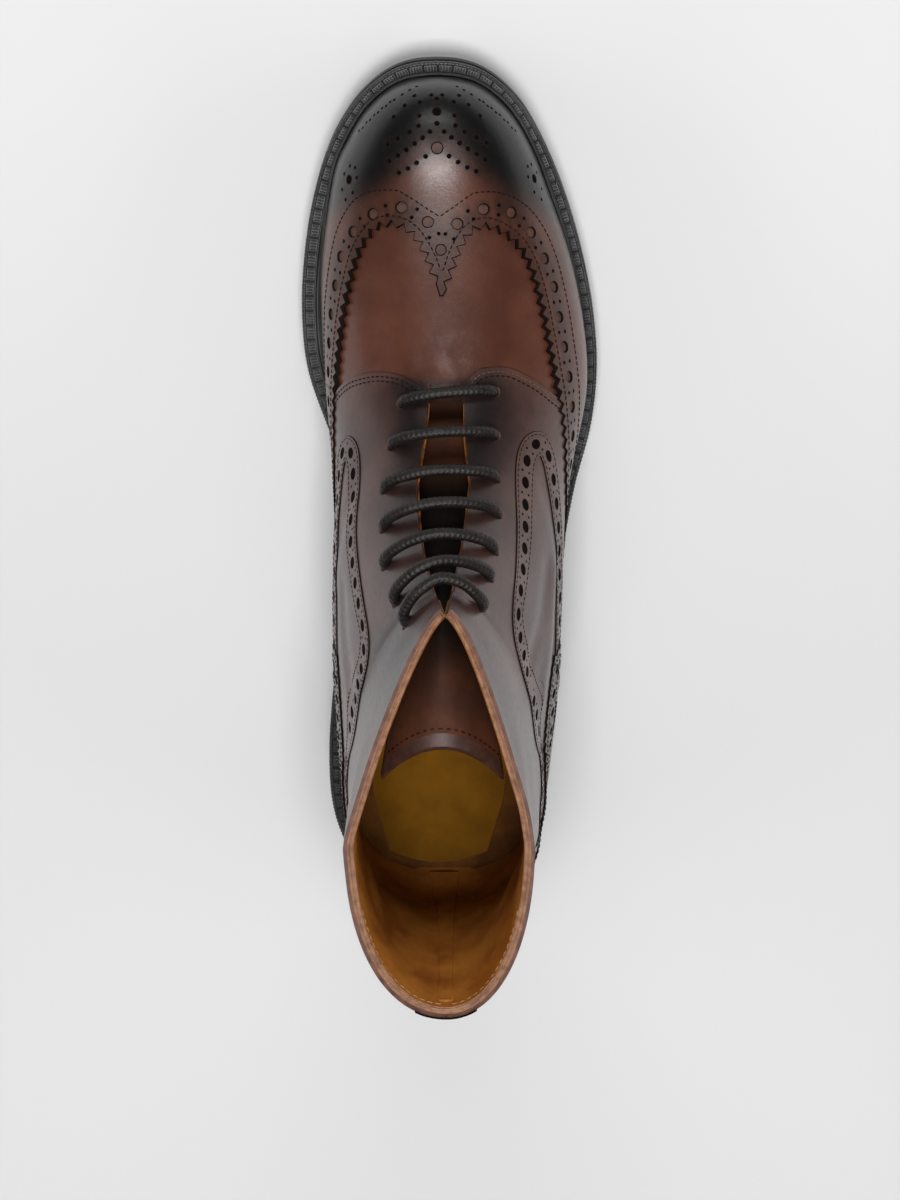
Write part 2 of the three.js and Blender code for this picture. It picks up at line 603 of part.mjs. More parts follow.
// Tongue: a sheet under the facings, then a free end that leans back into the shaft
const TONGUE_START = 7.35;
const TONGUE_TURN = 11.2;
const TONGUE_EDGE = [[7.35, 0.20], [8.2, 0.24], [9.4, 0.25], [10.5, 0.21], [11.2, 0.17]];
const TONGUE_HALF_WIDTH = 20.5;
const FREE_HEADING = [54, 40, 28, 18, 10, 5];
const FREE_ARCH = { back: 15, down: 12 };
const TONGUE_COLUMNS = 10;
function makeTongue() {
  const high = -(UPPER_WALL + 2 * INSIDE_CLEARANCE + LACE_DIAMETER);
  const heights = [high, high - TONGUE_THICKNESS];
  const stations = spread(10, TONGUE_START, TONGUE_TURN);
  const grids = heights.map((height) => stations.map((station) => {
    const edge = readLine(TONGUE_EDGE, station);
    return spread(TONGUE_COLUMNS, -edge, edge).map((around) => overFace(station, around, height));
  }));
  const step = TONGUE_FREE_LENGTH / FREE_HEADING.length;
  const middle = TONGUE_COLUMNS / 2;
  grids.forEach((grid, layer) => {
    const first = grid[grid.length - 1];
    const centre = first[middle].clone();
    FREE_HEADING.forEach((degrees, k) => {
      const heading = THREE.MathUtils.degToRad(degrees);
      centre.add(new THREE.Vector3(0, Math.cos(heading), Math.sin(heading)).multiplyScalar(step));
      const share = (k + 1) / FREE_HEADING.length;
      const thin = layer * TONGUE_THICKNESS * (1 - Math.cos(Math.PI / 2 - heading));
      grid.push(first.map((point, column) => {
        const across = (column - middle) / middle;
        const flat = point.clone().sub(first[middle]);
        const wide = new THREE.Vector3(
          across * TONGUE_HALF_WIDTH,
          FREE_ARCH.back * across * across,
          -FREE_ARCH.down * across * across,
        );
        return flat.lerp(wide, share).add(centre).add(new THREE.Vector3(0, 0, -thin));
      }));
    });
  });
  return solidOf(slabGeometry(grids[0], grids[1]));
}

// Lace: a bar over the throat at each row of holes, a plug through each hole, and runs under the facings
const LACE_SIDES = 5;
const BAR_STEPS = 6;
const INSIDE_HEIGHT = -(UPPER_WALL + INSIDE_CLEARANCE + LACE_DIAMETER / 2);
const OUTSIDE_HEIGHT = OVERLAY_TOP + LACE_CLEARANCE + LACE_DIAMETER / 2;
function tubeSolid(points, steps) {
  const outline = new THREE.Shape();
  spread(LACE_SIDES, 0, 2 * Math.PI).slice(0, -1).forEach((angle, k) => {
    const corner = [Math.cos(angle) * LACE_DIAMETER / 2, Math.sin(angle) * LACE_DIAMETER / 2];
    if (k === 0) outline.moveTo(...corner);
    else outline.lineTo(...corner);
  });
  const extrudePath = new THREE.CatmullRomCurve3(points, false, 'centripetal');
  return solidOf(new THREE.ExtrudeGeometry(outline, { steps, bevelEnabled: false, extrudePath }));
}

const holeAt = (row, side) => laceHoles.find((hole) => hole.row === row && Math.sign(hole.around) === side);
const mix = (a, b, share) => a + (b - a) * share;

// Bar from one hole of a row to the other, following the facings and bowed over the gap
function laceBar(row) {
  const [medial, lateral] = [holeAt(row, 1), holeAt(row, -1)];
  const points = spread(8, 0, 1).map((share) => overFace(
    mix(medial.station, lateral.station, share),
    mix(medial.around, lateral.around, share),
    OUTSIDE_HEIGHT + BAR_BOW * Math.sin(Math.PI * share),
  ));
  return tubeSolid(points, BAR_STEPS);
}

// Plug from the bar down to the run on the inside
function lacePlug(hole) {
  const ends = [INSIDE_HEIGHT - LACE_DIAMETER / 4, OUTSIDE_HEIGHT].map((height) => (
    overFace(hole.station, hole.around, height)));
  return tubeSolid(ends, 1);
}

// Run up the inside of one facing, from a row to the next
function laceRun(row, side) {
  const [lower, higher] = [holeAt(row, side), holeAt(row + 1, side)];
  const points = spread(4, 0, 1).map((share) => overFace(
    mix(lower.station, higher.station, share),
    mix(lower.around, higher.around, share),
    INSIDE_HEIGHT,
  ));
  return tubeSolid(points, 4);
}

function makeLace() {
  const bars = LACE_ROWS.map((_, row) => laceBar(row));
  const runs = LACE_ROWS.slice(1).map((_, row) => laceRun(row, row % 2 ? -1 : 1));
  return [...bars, ...runs, ...laceHoles.map(lacePlug)].reduce((all, piece) => all.add(piece));
}

const LEATHER = '#4f2f27';
const LEATHER_DARK = '#33201b';
const RUBBER = '#1d1c1b';
const boot = new THREE.Group();
const pieces = [
  ['upper', makeUpper(), LEATHER, 0.35],
  ['wing_cap', makeWingCap(), LEATHER_DARK, 0.3],
  ...makeQuarters().map((solid, k) => [`quarter_${k ? 'lateral' : 'medial'}`, solid, LEATHER, 0.35]),
  ...[1, -1].map((side) => [`strip_${side > 0 ? 'medial' : 'lateral'}`, makeStrip(side), LEATHER_DARK, 0.35]),
  ['heel_counter', makeCounter(), LEATHER_DARK, 0.3],
  ['backstay', makeBackstay(), LEATHER_DARK, 0.35],
  ['tongue', makeTongue(), '#4c2d1c', 0.5],
  ['lace', makeLace(), '#28211d', 0.8],
  ['insole', makeInsole(), '#57350b', 0.6],
  ['welt', makeWelt(), RUBBER, 0.6],
  ['midsole', makeMidsole(), RUBBER, 0.7],
  ['outsole', makeOutsole(), RUBBER, 0.8],
  ['heel_block', makeHeelBlock(), RUBBER, 0.6],
  ['heel_lift', makeHeelLift(), RUBBER, 0.8],
];
pieces.forEach((piece) => boot.add(meshOf(...piece)));

export default boot;
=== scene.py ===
import math

import bpy
import numpy as np
from mathutils import Matrix, Vector
from mathutils.geometry import delaunay_2d_cdt


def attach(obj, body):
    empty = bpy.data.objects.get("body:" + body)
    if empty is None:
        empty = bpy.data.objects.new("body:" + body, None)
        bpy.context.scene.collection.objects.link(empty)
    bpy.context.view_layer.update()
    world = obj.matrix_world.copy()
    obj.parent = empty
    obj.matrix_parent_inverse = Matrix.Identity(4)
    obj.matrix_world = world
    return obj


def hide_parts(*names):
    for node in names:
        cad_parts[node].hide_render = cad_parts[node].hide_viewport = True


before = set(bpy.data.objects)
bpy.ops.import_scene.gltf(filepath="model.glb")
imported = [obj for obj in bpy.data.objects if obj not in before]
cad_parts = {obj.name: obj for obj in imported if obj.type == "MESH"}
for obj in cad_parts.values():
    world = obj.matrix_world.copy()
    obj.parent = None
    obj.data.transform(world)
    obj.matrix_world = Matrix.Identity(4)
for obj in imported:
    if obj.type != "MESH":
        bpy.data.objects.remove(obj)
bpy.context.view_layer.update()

MM = 0.001

# Sizes of the boot in millimetres, the same as those of its solids
UPPER_LENGTH = 298.0
BALL_WIDTH = 92.0
SHAFT_RISE = 127.0
COLLAR_DIP = 3.0
UPPER_WALL = 2.4
TOE_REACH = 6.5
HEEL_REACH = 3.5
SIDE_REACH = 7.5
SOLE_LENGTH = TOE_REACH + UPPER_LENGTH + HEEL_REACH
SOLE_WIDTH = BALL_WIDTH + 2 * SIDE_REACH
OUTSOLE = 6.0
MIDSOLE = 4.0
WELT = 3.0
TREAD = OUTSOLE + MIDSOLE + WELT
HEEL_HEIGHT = 25.0
HEEL_LIFT = 6.0
HEEL_LENGTH = 84.0
BREAST_RADIUS = 95.0
BREAST_DEPTH = 6.0
TOE_SPRING = 9.0
FLAT_START = 0.565
FLAT_END = 0.727

# The lace is drawn 4.1 mm thick, as it looks in the photo, and its solid is 3.2 mm thick
LACE_RADIUS = 2.05

# Heights of the leathers over the face of the last
QUARTER_TOP = 1.15
STRIP_TOP = 1.55
CAP_TOP = 1.9
BACKSTAY_TOP = 1.8

# ---------------------------------------------------------------- the last

SECTIONS = np.array([
    # front along, rise, back along, rise, axis, medial, lateral, widest, crown, keel medial, lateral
    [1.000, 0.087, 1.000, 0.048, 0.050, 0.033, 0.033, 0.55, 2.0, 2.0, 2.0],
    [0.997, 0.132, 0.997, -0.005, 0.050, 0.092, 0.092, 0.58, 2.1, 2.4, 2.4],
    [0.990, 0.175, 0.990, -0.042, 0.050, 0.152, 0.152, 0.60, 2.2, 2.8, 2.8],
    [0.976, 0.212, 0.976, -0.062, 0.050, 0.213, 0.213, 0.62, 2.3, 3.2, 3.2],
    [0.956, 0.243, 0.956, -0.079, 0.049, 0.272, 0.272, 0.64, 2.3, 3.5, 3.5],
    [0.928, 0.268, 0.928, -0.079, 0.048, 0.326, 0.326, 0.66, 2.3, 3.5, 3.5],
    [0.881, 0.295, 0.881, -0.079, 0.043, 0.391, 0.386, 0.68, 2.2, 3.5, 3.5],
    [0.777, 0.372, 0.760, -0.079, 0.030, 0.452, 0.496, 0.68, 2.1, 3.5, 3.5],
    [0.676, 0.469, 0.619, -0.079, 0.018, 0.452, 0.536, 0.64, 2.0, 3.2, 4.0],
    [0.599, 0.606, 0.465, -0.079, 0.028, 0.407, 0.474, 0.54, 2.0, 2.6, 5.0],
    [0.544, 0.775, 0.317, -0.079, 0.033, 0.408, 0.457, 0.60, 2.0, 3.2, 4.6],
    [0.512, 0.941, 0.173, -0.079, 0.030, 0.404, 0.433, 0.68, 1.95, 4.0, 4.2],
    [0.498, 1.054, 0.049, -0.075, 0.024, 0.389, 0.388, 0.74, 1.8, 3.6, 3.6],
    [0.496, 1.080, 0.015, -0.024, 0.022, 0.380, 0.380, 0.73, 1.7, 3.0, 3.0],
    [0.492, 1.123, 0.000, 0.173, 0.020, 0.366, 0.362, 0.68, 1.6, 2.5, 2.5],
    [0.488, 1.172, 0.019, 0.449, 0.015, 0.360, 0.336, 0.62, 1.4, 2.2, 2.2],
    [0.485, 1.251, 0.017, 0.756, 0.014, 0.361, 0.315, 0.60, 1.25, 2.1, 2.1],
    [0.482, 1.351, -0.003, 1.102, 0.014, 0.361, 0.313, 0.60, 1.2, 2.1, 2.1],
])
LAST = len(SECTIONS) - 1


def tread_height(s):
    share = np.clip(s / SOLE_LENGTH, 0, 1)
    breast = HEEL_LENGTH / SOLE_LENGTH
    fall = np.clip((FLAT_START - share) / (FLAT_START - breast), 0, 1)
    spring = np.clip((share - FLAT_END) / (1 - FLAT_END), 0, 1)
    return HEEL_HEIGHT * fall * fall * (3 - 2 * fall) + TOE_SPRING * spring ** 1.8


def feather(s):
    return tread_height(s) + TREAD


def sole_y(s):
    return SOLE_LENGTH / 2 - s


def through_four(rows, place):
    """Smooth curve through the rows of a table, at places between them"""
    place = np.asarray(place, float)
    i = np.clip(np.floor(place).astype(int), 0, len(rows) - 2)
    f = (place - i)[..., None]
    grown = np.vstack([2 * rows[0] - rows[1], rows, 2 * rows[-1] - rows[-2]])
    a, b, c, d = grown[i], grown[i + 1], grown[i + 2], grown[i + 3]
    return 0.5 * (2 * b + (c - a) * f + (2 * a - 5 * b + 4 * c - d) * f ** 2
                  + (3 * b - a - 3 * c + d) * f ** 3)


def bare_face(t, a):
    """Point of the last at a station and a share of the way round: 0 on the front ridge, 1 at the back"""
    t, a = np.broadcast_arrays(np.asarray(t, float), np.asarray(a, float))
    a = np.where(a > 1, a - 2, a)
    row = through_four(SECTIONS, t)
    (f_along, f_rise, b_along, b_rise, axis, medial, lateral, widest, crown, keel_m,
     keel_l) = np.moveaxis(row, -1, 0)
    side = np.where(a < 0, -1.0, 1.0)
    turn = np.minimum(np.abs(a), 1) * np.pi
    half = np.where(side > 0, medial, lateral) * BALL_WIDTH
    keel = np.where(side > 0, keel_m, keel_l)
    in_crown = turn < np.pi / 2
    power = 2 / np.where(in_crown, crown, keel)
    across = half * np.abs(np.sin(turn)) ** power
    cosine = np.abs(np.cos(turn)) ** power
    depth = np.where(in_crown, widest * (1 - cosine), widest + (1 - widest) * cosine)
    f_s = HEEL_REACH + f_along * UPPER_LENGTH
    b_s = HEEL_REACH + b_along * UPPER_LENGTH
    f_z = feather(f_s) + f_rise * SHAFT_RISE
    b_z = feather(b_s) + b_rise * SHAFT_RISE
    return np.stack([axis * BALL_WIDTH + side * across,
                     sole_y(f_s + (b_s - f_s) * depth),
                     f_z + (b_z - f_z) * depth], axis=-1)


def normal(t, a):
    """Direction straight out of the last at a place"""
    t, a = np.broadcast_arrays(np.asarray(t, float), np.asarray(a, float))
    a = np.where(a > 1, a - 2, a)
    along = bare_face(np.minimum(t + 0.05, LAST), a) - bare_face(np.maximum(t - 0.05, 0), a)
    reach = np.where(np.abs(a) > 0.985, np.sign(a) * 0.985, a)
    across = bare_face(t, reach + 0.015) - bare_face(t, reach - 0.015)
    n = np.cross(across, along)
    return n / np.linalg.norm(n, axis=-1, keepdims=True)


# Soft creases and swells of the worn-in leather: from station and around, to station and around,
# depth (a trough is negative) and half width, both in millimetres
CREASES = [
    (7.72, -0.22, 7.80, -0.03, -0.55, 3.2),
    (7.80, -0.03, 7.70, 0.20, -0.50, 3.0),
    (7.45, -0.16, 7.52, 0.02, -0.28, 3.5),
    (7.52, 0.02, 7.44, 0.17, -0.28, 3.5),
    (7.60, -0.10, 7.62, 0.12, 0.35, 4.5),
    (7.95, -0.02, 7.80, 0.01, 0.70, 4.5),
    (7.60, -0.13, 7.66, 0.00, 0.40, 2.6),
    (7.80, -0.11, 7.86, -0.02, 0.75, 3.2),
    (7.84, 0.02, 7.76, 0.13, 0.60, 3.0),
    (7.70, -0.09, 7.73, 0.06, -0.45, 2.4),
    (10.2, -0.34, 11.6, -0.30, -0.9, 4.5),
    (10.0, -0.41, 11.9, -0.44, -0.8, 5.0),
    (10.1, -0.37, 11.7, -0.37, 0.8, 4.5),
    (10.4, 0.36, 11.8, 0.34, -0.8, 5.0),
    (10.3, 0.42, 12.0, 0.45, -0.6, 5.0),
    (9.3, 0.30, 10.0, 0.44, -0.5, 4.5),
    (9.2, -0.30, 9.9, -0.42, -0.5, 4.5),
    (13.4, 0.58, 14.6, 0.42, -0.7, 6.0),
    (13.2, -0.58, 14.5, -0.45, -0.7, 6.0),
    (14.6, 0.62, 15.6, 0.72, -1.0, 4.5),
    (14.2, 0.70, 15.3, 0.80, 0.9, 4.5),
    (14.6, -0.62, 15.4, -0.74, -1.0, 4.5),
    (14.0, -0.72, 15.0, -0.84, 0.9, 5.0),
    (13.7, 0.80, 14.3, 0.90, -0.8, 4.0),
    (15.6, -0.34, 16.6, -0.42, 0.6, 8.0),
    (15.4, 0.36, 16.4, 0.46, 0.6, 8.0),
]


def relief(point):
    """How far the leather swells or sinks at a place"""
    total = np.zeros(point.shape[:-1])
    for t0, a0, t1, a1, depth, width in CREASES:
        steps = np.linspace(0, 1, 9)
        line = bare_face(t0 + (t1 - t0) * steps, a0 + (a1 - a0) * steps)
        near = np.full(point.shape[:-1], 1e9)
        for p, q in zip(line[:-1], line[1:]):
            pq = q - p
            f = np.clip(((point - p) @ pq) / (pq @ pq), 0, 1)
            gap = point - p - f[..., None] * pq
            near = np.minimum(near, np.einsum('...k,...k', gap, gap))
        total += depth * np.exp(-near / (width * width))
    return total


def over(t, a, height=0.0):
    """Point at a height over the leather's face"""
    point = bare_face(t, a)
    lift = np.asarray(height, float) + relief(point)
    return point + normal(t, a) * lift[..., None]


def run_length(points):
    """Distance along a line of points, from its first to each"""
    return np.concatenate([[0], np.cumsum(np.linalg.norm(np.diff(points, axis=0), axis=1))])


def read_rows(rows, length, at):
    """Rows of a line at distances along it"""
    return np.stack([np.interp(at, length, column) for column in np.asarray(rows).T], -1)


def read_line(table, place):
    table = np.asarray(table, float)
    return np.interp(place, table[:, 0], table[:, 1])


def bisect(test, low, high, rounds=26):
    """Places between low and high where a test turns from true to false"""
    low, high = np.array(low, float), np.array(high, float)
    for _ in range(rounds):
        middle = (low + high) / 2
        ok = test(middle)
        low = np.where(ok, middle, low)
        high = np.where(ok, high, middle)
    return (low + high) / 2


COLLAR_FRONT = 0.482 * UPPER_LENGTH


def collar_height(s):
    share = np.clip(s / COLLAR_FRONT, 0, 1)
    return feather(0.0) + SHAFT_RISE - COLLAR_DIP * np.sin(np.pi * share) ** 2


def collar_station(a):
    a = np.asarray(a, float)

    def below(t):
        p = bare_face(t, a)
        return p[..., 2] < collar_height(SOLE_LENGTH / 2 - p[..., 1])
    return bisect(below, np.full(a.shape, 13.0), np.full(a.shape, float(LAST)))


def foot_around(t, rise, height=0.0, side=1):
    """How far round a side of the face reaches down to a rise over the welt, 1 where it never does"""
    t = np.asarray(t, float)

    def above(a):
        p = bare_face(t, side * a) + normal(t, side * a) * height
        return p[..., 2] > feather(SOLE_LENGTH / 2 - p[..., 1]) + rise
    return bisect(above, np.full(t.shape, 0.45), np.ones(t.shape))


# ---------------------------------------------------------------- meshes

U_SCALE = 16.0
V_SCALE = 115.0
LARGE_SIDES = 14
HOLE_FLARE = 0.35


def finish_piece(obj, nodes=(), slot=None):
    """Attaches a piece to the root body, and hides the imported nodes that it stands for"""
    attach(obj, "root")
    if nodes:
        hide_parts(*nodes)
    return obj


def new_object(name, points, faces, materials, indices=None, attributes=None, smooth=True):
    mesh = bpy.data.meshes.new(name)
    mesh.from_pydata((np.asarray(points) * MM).tolist(), [], [list(map(int, f)) for f in faces])
    mesh.validate()
    for material in materials:
        mesh.materials.append(material)
    if indices is not None and len(indices) == len(mesh.polygons):
        mesh.polygons.foreach_set("material_index", np.asarray(indices, dtype=np.int32))
    mesh.polygons.foreach_set("use_smooth", np.full(len(mesh.polygons), smooth))
    for key, values in (attributes or {}).items():
        layer = mesh.attributes.new(key, 'FLOAT', 'POINT')
        layer.data.foreach_set("value", np.asarray(values, dtype=np.float32))
    mesh.update()
    obj = bpy.data.objects.new(name, mesh)
    bpy.context.scene.collection.objects.link(obj)
    return obj


class Parts:
    """Gathers points and faces of one mesh"""

    def __init__(self):
        self.points, self.faces, self.indices = [], [], []
        self.values = {}
        self.count = 0

    def add(self, points, faces, index=0, **values):
        points = np.asarray(points, float).reshape(-1, 3)
        self.points.append(points)
        self.faces += [[int(k) + self.count for k in f] for f in faces]
        self.indices += [index] * len(faces)
        for key in ('burn', 'rim'):
            value = np.asarray(values.get(key, 0.0), float).reshape(-1)
            self.values.setdefault(key, []).append(np.broadcast_to(value, len(points)))
        self.count += len(points)

    def build(self, name, materials):
        values = {key: np.concatenate(v) for key, v in self.values.items()}
        return new_object(name, np.concatenate(self.points), self.faces, materials, self.indices, values)


def grid_faces(rows, columns, closed=False, flip=False):
    faces = []
    for i in range(rows - 1):
        for j in range(columns if closed else columns - 1):
            k = (j + 1) % columns
            quad = [i * columns + j, (i + 1) * columns + j, (i + 1) * columns + k, i * columns + k]
            faces.append(quad[::-1] if flip else quad)
    return faces


def facing_out(points, faces, outward):
    """Turns the faces so that they look along the outward directions at their corners"""
    points = np.asarray(points)
    turned = []
    for face in faces:
        p = points[face]
        n = np.cross(p[1] - p[0], p[2] - p[0])
        turned.append(face if n @ outward[face].mean(axis=0) >= 0 else face[::-1])
    return turned


def inside(points, loop):
    """Which points lie inside a closed loop"""
    x, y = points[:, 0][:, None], points[:, 1][:, None]
    x0, y0 = loop[:, 0][None], loop[:, 1][None]
    x1, y1 = np.roll(x0, -1, 1), np.roll(y0, -1, 1)
    crosses = (y0 > y) != (y1 > y)
    with np.errstate(divide='ignore', invalid='ignore'):
        at = x0 + (y - y0) * (x1 - x0) / (y1 - y0)
    return (np.sum(crosses & (x < at), axis=1) % 2) == 1


def area_of(loop):
    return np.sum(loop[:, 0] * np.roll(loop[:, 1], -1) - loop[:, 1] * np.roll(loop[:, 0], -1)) / 2


def distance(points, loops):
    """Distance of each point from the nearest of some closed loops"""
    near = np.full(len(points), 1e9)
    for loop in loops:
        p, q = loop, np.roll(loop, -1, 0)
        for k in range(0, len(points), 2000):
            part = points[k:k + 2000]
            pq = (q - p)[None]
            apart_by = part[:, None] - p[None]
            f = np.clip(np.sum(apart_by * pq, -1) / np.maximum(np.sum(pq * pq, -1), 1e-12), 0, 1)
            gap = apart_by - f[..., None] * pq
            near[k:k + 2000] = np.minimum(near[k:k + 2000], np.sqrt(np.min(np.sum(gap * gap, -1), axis=1)))
    return near


def burnish_and_shade_at(point, t, a):
    """Darkness over the face: the hand-burnished toe, the welt's line, the facings' feet, the shaft, and
    painted shade on the medial side up to the collar
    """
    toe = -point[:, 1]
    middle = np.exp(-((point[:, 0] - 4) / 19) ** 2)
    front = np.clip((toe - 94 - 27 * middle) / 19, 0, 1)
    low = np.clip(1 - (point[:, 2] - feather(SOLE_LENGTH / 2 - point[:, 1])) / 24, 0, 1)
    facing = np.exp(-((np.abs(a) - 0.09) / 0.075) ** 2)
    facing = facing * np.clip((t - 7.9) / 0.15, 0, 1) * np.clip((10.6 - t) / 1.6, 0, 1)
    shaft = 0.24 * np.clip((t - 7.9) / 0.2, 0, 1)
    # Painted shade: a darker band down the medial side of the shaft, up to the collar
    shaft = shaft + 0.5 * np.exp(-((a - 0.2) / 0.10) ** 2) * np.clip((t - 11.0) / 1.5, 0, 1)
    edge = np.where(a < 0, 0.95, 0.8) * low ** np.where(a < 0, 1.05, 1.4)
    return np.clip(front ** 0.8 + edge + 0.55 * facing + shaft, 0, 1)


def apart(holes, loop):
    """Leaves out a hole that would run into a larger one or over the edge of its leather"""
    edge = bare_face(loop[:, 0], loop[:, 1])
    scale = np.array([U_SCALE, V_SCALE])
    kept, spots = [], []
    for hole in sorted(holes, key=lambda h: -len(h)):
        ring = bare_face(hole[:, 0], hole[:, 1])
        centre = ring.mean(axis=0)
        radius = np.linalg.norm(ring - centre, axis=1).max()
        if np.linalg.norm(edge - centre, axis=1).min() < radius + 0.7:
            continue
        if not inside(hole.mean(axis=0)[None] * scale, loop * scale)[0]:
            continue
        if any(np.linalg.norm(centre - spot) < radius + reach + 0.25 for spot, reach in spots):
            continue
        kept.append(hole)
        spots.append((centre, radius))
    return kept


def panel(parts, loop, holes=(), high=1.2, low=-0.2, step=2.4, floor=0.3, index=0, wall=1, pit=2, disc=3,
          flip=False, walls=True, flare=0.5, shade=1.0):
    """Sheet of leather over the face inside a loop of (station, around), with punched holes

    high, low and floor are the heights of its face, of its edge's foot and of the holes' floors. index, wall,
    pit and disc are the places of their materials, flare is how far the foot of the edge stands out, and
    shade is how dark the face turns beside an edge.
    """
    scale = np.array([U_SCALE, V_SCALE])
    loop = np.asarray(loop, float)
    holes = apart([np.asarray(h, float) for h in holes], loop)
    loops = [loop * scale] + [np.asarray(h, float) * scale for h in holes]
    lo, hi = loops[0].min(axis=0), loops[0].max(axis=0)
    middle = (lo[1] + hi[1]) / 2 / V_SCALE
    reference = 0.3 if abs(middle) < 0.2 else middle
    stations = np.linspace(lo[0] / U_SCALE, hi[0] / U_SCALE, 400)
    length = run_length(bare_face(stations, reference))
    lines = np.interp(np.arange(step, length[-1], step), length, stations)
    arounds = np.arange(lo[1] / V_SCALE, hi[1] / V_SCALE, step / 112)
    grid = np.stack(np.meshgrid(lines, arounds, indexing='ij'), -1)
    grid[::2, :, 1] += step / 224
    points = grid.reshape(-1, 2) * scale
    keep = inside(points, loops[0]) & (distance(points, loops) > 0.5 * step)
    for hole in loops[1:]:
        keep &= ~inside(points, hole)
    points = points[keep]
    corners = np.vstack(loops + [points])
    edges, start = [], 0
    for one in loops:
        edges += [(start + k, start + (k + 1) % len(one)) for k in range(len(one))]
        start += len(one)
    found = delaunay_2d_cdt([Vector(p) for p in corners], edges, [], 0, 1e-6)
    flat = np.array([[v.x, v.y] for v in found[0]])
    triangles = np.array([list(f) for f in found[2]])
    middles = flat[triangles].mean(axis=1)
    within = inside(middles, loops[0])
    in_hole = np.zeros(len(middles), bool)
    in_large = np.zeros(len(middles), bool)
    for hole in loops[1:]:
        caught = inside(middles, hole)
        in_hole |= caught
        if len(hole) >= LARGE_SIDES:
            in_large |= caught
    t, a = flat[:, 0] / U_SCALE, flat[:, 1] / V_SCALE
    t = np.clip(t, 0, LAST)
    out = normal(t, a) * (-1 if flip else 1)
    # Painted shade with the dark cut edge: the face darkens beside its edges and round its holes
    rim = shade * np.exp(-distance(flat, loops) / 0.7)
    face = bare_face(t, a)
    burn = burnish_and_shade_at(face, t, np.where(a > 1, a - 2, a))
    top = over(t, a, high)
    chosen = triangles[within & ~in_hole]
    used, inverse = np.unique(chosen, return_inverse=True)
    parts.add(top[used], facing_out(top[used], inverse.reshape(chosen.shape).tolist(), out[used]), index,
              burn=burn[used], rim=rim[used])
    small, large = triangles[in_hole & within & ~in_large], triangles[in_large & within]
    for chosen, kind in ((small, pit), (large, disc)):
        if not len(chosen):
            continue
        used, inverse = np.unique(chosen, return_inverse=True)
        bottom = over(t[used], a[used], floor)
        faces = facing_out(bottom, inverse.reshape(chosen.shape).tolist(), out[used])
        parts.add(bottom, faces, kind, burn=1.0, rim=1.0)
    if not walls:
        return
    for k, one in enumerate(loops):
        t, a = np.clip(one[:, 0] / U_SCALE, 0, LAST), one[:, 1] / V_SCALE
        foot = low if k == 0 else floor
        run = bare_face(np.roll(t, -1), np.roll(a, -1)) - bare_face(np.roll(t, 1), np.roll(a, 1))
        run /= np.maximum(np.linalg.norm(run, axis=1, keepdims=True), 1e-6)
        aside = np.cross(normal(t, a), run) * np.sign(area_of(one)) * (flare if k == 0 else -HOLE_FLARE)
        rows = np.stack([over(t, a, high), over(t, a, high - 0.15) + aside * 0.7, over(t, a, foot) + aside])
        area = area_of(one)
        faces = grid_faces(3, len(one), closed=True, flip=(area > 0) == (k == 0))
        parts.add(rows.reshape(-1, 3), faces, wall, burn=1.0, rim=1.0)


# ---------------------------------------------------------------- lines on the face


def smooth_line(line, rounds=3):
    """Rounds the corners of an open line, with its ends kept"""
    line = np.asarray(line, float)
    for _ in range(rounds):
        a, b = line[:-1], line[1:]
        cut = np.empty((2 * len(a), line.shape[1]))
        cut[0::2] = a * 0.75 + b * 0.25
        cut[1::2] = a * 0.25 + b * 0.75
        line = np.vstack([line[:1], cut, line[-1:]])
    return line


def shift(line, vectors):
    """Moves (station, around) places by vectors in the face"""
    t, a = line[:, 0], line[:, 1]
    d_t = (bare_face(np.minimum(t + 0.02, LAST), a) - bare_face(np.maximum(t - 0.02, 0), a)) / 0.04
    d_a = (bare_face(t, a + 0.004) - bare_face(t, a - 0.004)) / 0.008
    g11, g12, g22 = (np.sum(x * y, -1) for x, y in ((d_t, d_t), (d_t, d_a), (d_a, d_a)))
    r1, r2 = np.sum(d_t * vectors, -1), np.sum(d_a * vectors, -1)
    determinant = g11 * g22 - g12 * g12
    return line + np.stack([(g22 * r1 - g12 * r2) / determinant, (g11 * r2 - g12 * r1) / determinant], -1)


def walk(line, pitch, start=0.0):
    """Even steps along a line: places, directions along it, and directions to its left in the face"""
    line = np.asarray(line, float)
    points = bare_face(line[:, 0], line[:, 1])
    length = run_length(points)
    at = np.arange(start, length[-1], pitch)
    places = read_rows(line, length, at)
    along = read_rows(points, length, np.minimum(at + 0.6, length[-1]))
    along = along - read_rows(points, length, np.maximum(at - 0.6, 0))
    along /= np.linalg.norm(along, axis=1, keepdims=True)
    left = np.cross(normal(places[:, 0], places[:, 1]), along)
    return places, along, left, length[-1]


def beside(line, gap, pitch=1.5):
    """Line at a distance to the left of another"""
    places, _, left, _ = walk(line, pitch)
    return shift(places, left * gap)


def pinked(line, pitch, depth):
    """Zigzag of a pinked edge, with its teeth to the right of a line"""
    _, _, _, length = walk(line, 5.0)
    count = max(2, round(length / pitch))
    places, _, left, _ = walk(line, length / count / 2 * 0.99999)
    side = np.where(np.arange(len(places)) % 2 == 0, 0.5, -0.5)[:, None]
    return shift(places, left * side * depth)


def circle(place, radius, sides, stretch=1.0, along=None):
    """Round or oval hole of (station, around) places"""
    t, a = place
    n = normal(t, a)
    first = np.array(along) if along is not None else np.cross(n, [0.0, 0.0, 1.0])
    first = first - n * (first @ n)
    first /= np.linalg.norm(first)
    second = np.cross(n, first)
    angles = np.linspace(0, 2 * np.pi, sides, endpoint=False)
    ring = radius * (np.cos(angles)[:, None] * first * stretch + np.sin(angles)[:, None] * second)
    return shift(np.repeat([[t, a]], sides, 0), ring)


